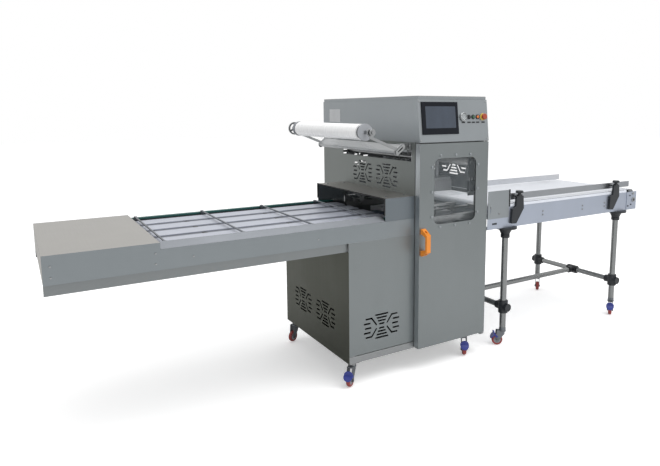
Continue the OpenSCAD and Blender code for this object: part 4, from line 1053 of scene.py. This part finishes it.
def joint_axis(name):
    return next(Vector(joint["axis"]) for joint in frame["joints"] if joint["name"] == name)


def paint_hub(wheel, middle, axle):
    """Gives the hub's finish to the faces that lie whole within its radius."""
    number = finish_number(wheel.data, hub_grey)
    for face in wheel.data.polygons:
        arms = [wheel.data.vertices[v].co - middle for v in face.vertices]
        if max((arm - axle * arm.dot(axle)).length for arm in arms) < WHEEL_HUB_RADIUS:
            face.material_index = number


caster_names = sorted(node.removesuffix("_fork") for node in frame["nodes"] if node.endswith("_fork"))
pedals = 0
for name in caster_names:
    fork = eased(name + "_fork", FOLD_EDGE, caster_zinc)
    pedals += refinish(fork, fork_finish)
    wheel = eased(name + "_wheel", FOLD_EDGE, wheel_red)
    wheel_low, wheel_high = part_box(name + "_wheel")
    paint_hub(wheel, (wheel_low + wheel_high) / 2, joint_axis(name + "_roll"))
print("casters:", len(caster_names), "with", pedals, "pedals")

# %% [markdown]
# A plain studio: a pale floor that runs out to a white surround, and large soft lamps. The
# floor glows a little where the camera sees it directly, so that it meets the surround
# without an edge and still keeps the machine's shadow.

# %% Floor
FLOOR_SIZE = 60
FLOOR_TONE = (0.93, 0.93, 0.93)
FLOOR_GLOW = (0.38, 0.38, 0.38)
NO_GLOW = (0, 0, 0)

bpy.ops.object.select_all(action="DESELECT")
bpy.ops.mesh.primitive_plane_add(size=FLOOR_SIZE, location=(0, 0, 0))
floor = bpy.context.object
floor.name = "floor"
floor_paint = Finish("floor_paint", FLOOR_TONE, 0.9, Emission_Strength=1.0)
straight = floor_paint.node("ShaderNodeLightPath", output="Is Camera Ray")
floor_paint.feed("Emission Color", floor_paint.mix(straight, NO_GLOW, FLOOR_GLOW))
floor.data.materials.append(floor_paint.material)
print("floor:", round(floor.dimensions.x), "m square, finishes in all:", Finish.made)

# %% [markdown]
# The surround looks white to the camera, in reflections and through clear pieces. What it
# lights the machine with is a little darker to one side and low down, so that no two walls
# of the cabinet come out the same flat grey. Two broad lamps give the soft shadows.

# %% World and lamps
SIDE_LIGHT = (0.20, -0.12, 0.20)
MIDDLE_LIGHT = 0.62

world = bpy.data.worlds.new("studio")
bpy.context.scene.world = world
world.use_nodes = True
nodes = world.node_tree.nodes
links = world.node_tree.links
background = nodes["Background"]
background.inputs["Color"].default_value = (1, 1, 1, 1)
path = nodes.new("ShaderNodeLightPath")
sky = nodes.new("ShaderNodeTexCoord")
split = nodes.new("ShaderNodeSeparateXYZ")
links.new(sky.outputs["Generated"], split.inputs[0])
across, along, up = (Signal(world.node_tree, socket) for socket in split.outputs)
by_camera, by_gloss, by_glass = (
    Signal(world.node_tree, path.outputs[key])
    for key in ("Is Camera Ray", "Is Glossy Ray", "Is Transmission Ray"))
seen = by_camera.most(by_gloss).most(by_glass)
side = across * SIDE_LIGHT[0] + along * SIDE_LIGHT[1] + up * SIDE_LIGHT[2] + MIDDLE_LIGHT
strength = seen + (1 - seen) * side
links.new(strength.socket, background.inputs["Strength"])


def lamp(name, place, aim, size, power):
    data = bpy.data.lights.new(name, "AREA")
    data.shape = "RECTANGLE"
    data.size, data.size_y = size
    data.energy = power
    made = bpy.data.objects.new(name, data)
    bpy.context.scene.collection.objects.link(made)
    way = Vector(aim) - Vector(place)
    made.matrix_world = Matrix.Translation(place) @ way.to_track_quat("-Z", "Y").to_matrix().to_4x4()


lamp("key", place=(1.4, -3.4, 6.5), aim=(0, 0, 0.8), size=(4.0, 4.0), power=170)
lamp("top", place=(-0.5, 0.5, 6.0), aim=(0, 0, 1.0), size=(6.0, 4.0), power=90)
bpy.context.scene.view_settings.view_transform = "Standard"
print("lamps:", [(light.name, light.energy) for light in bpy.data.lights])

# %% [markdown]
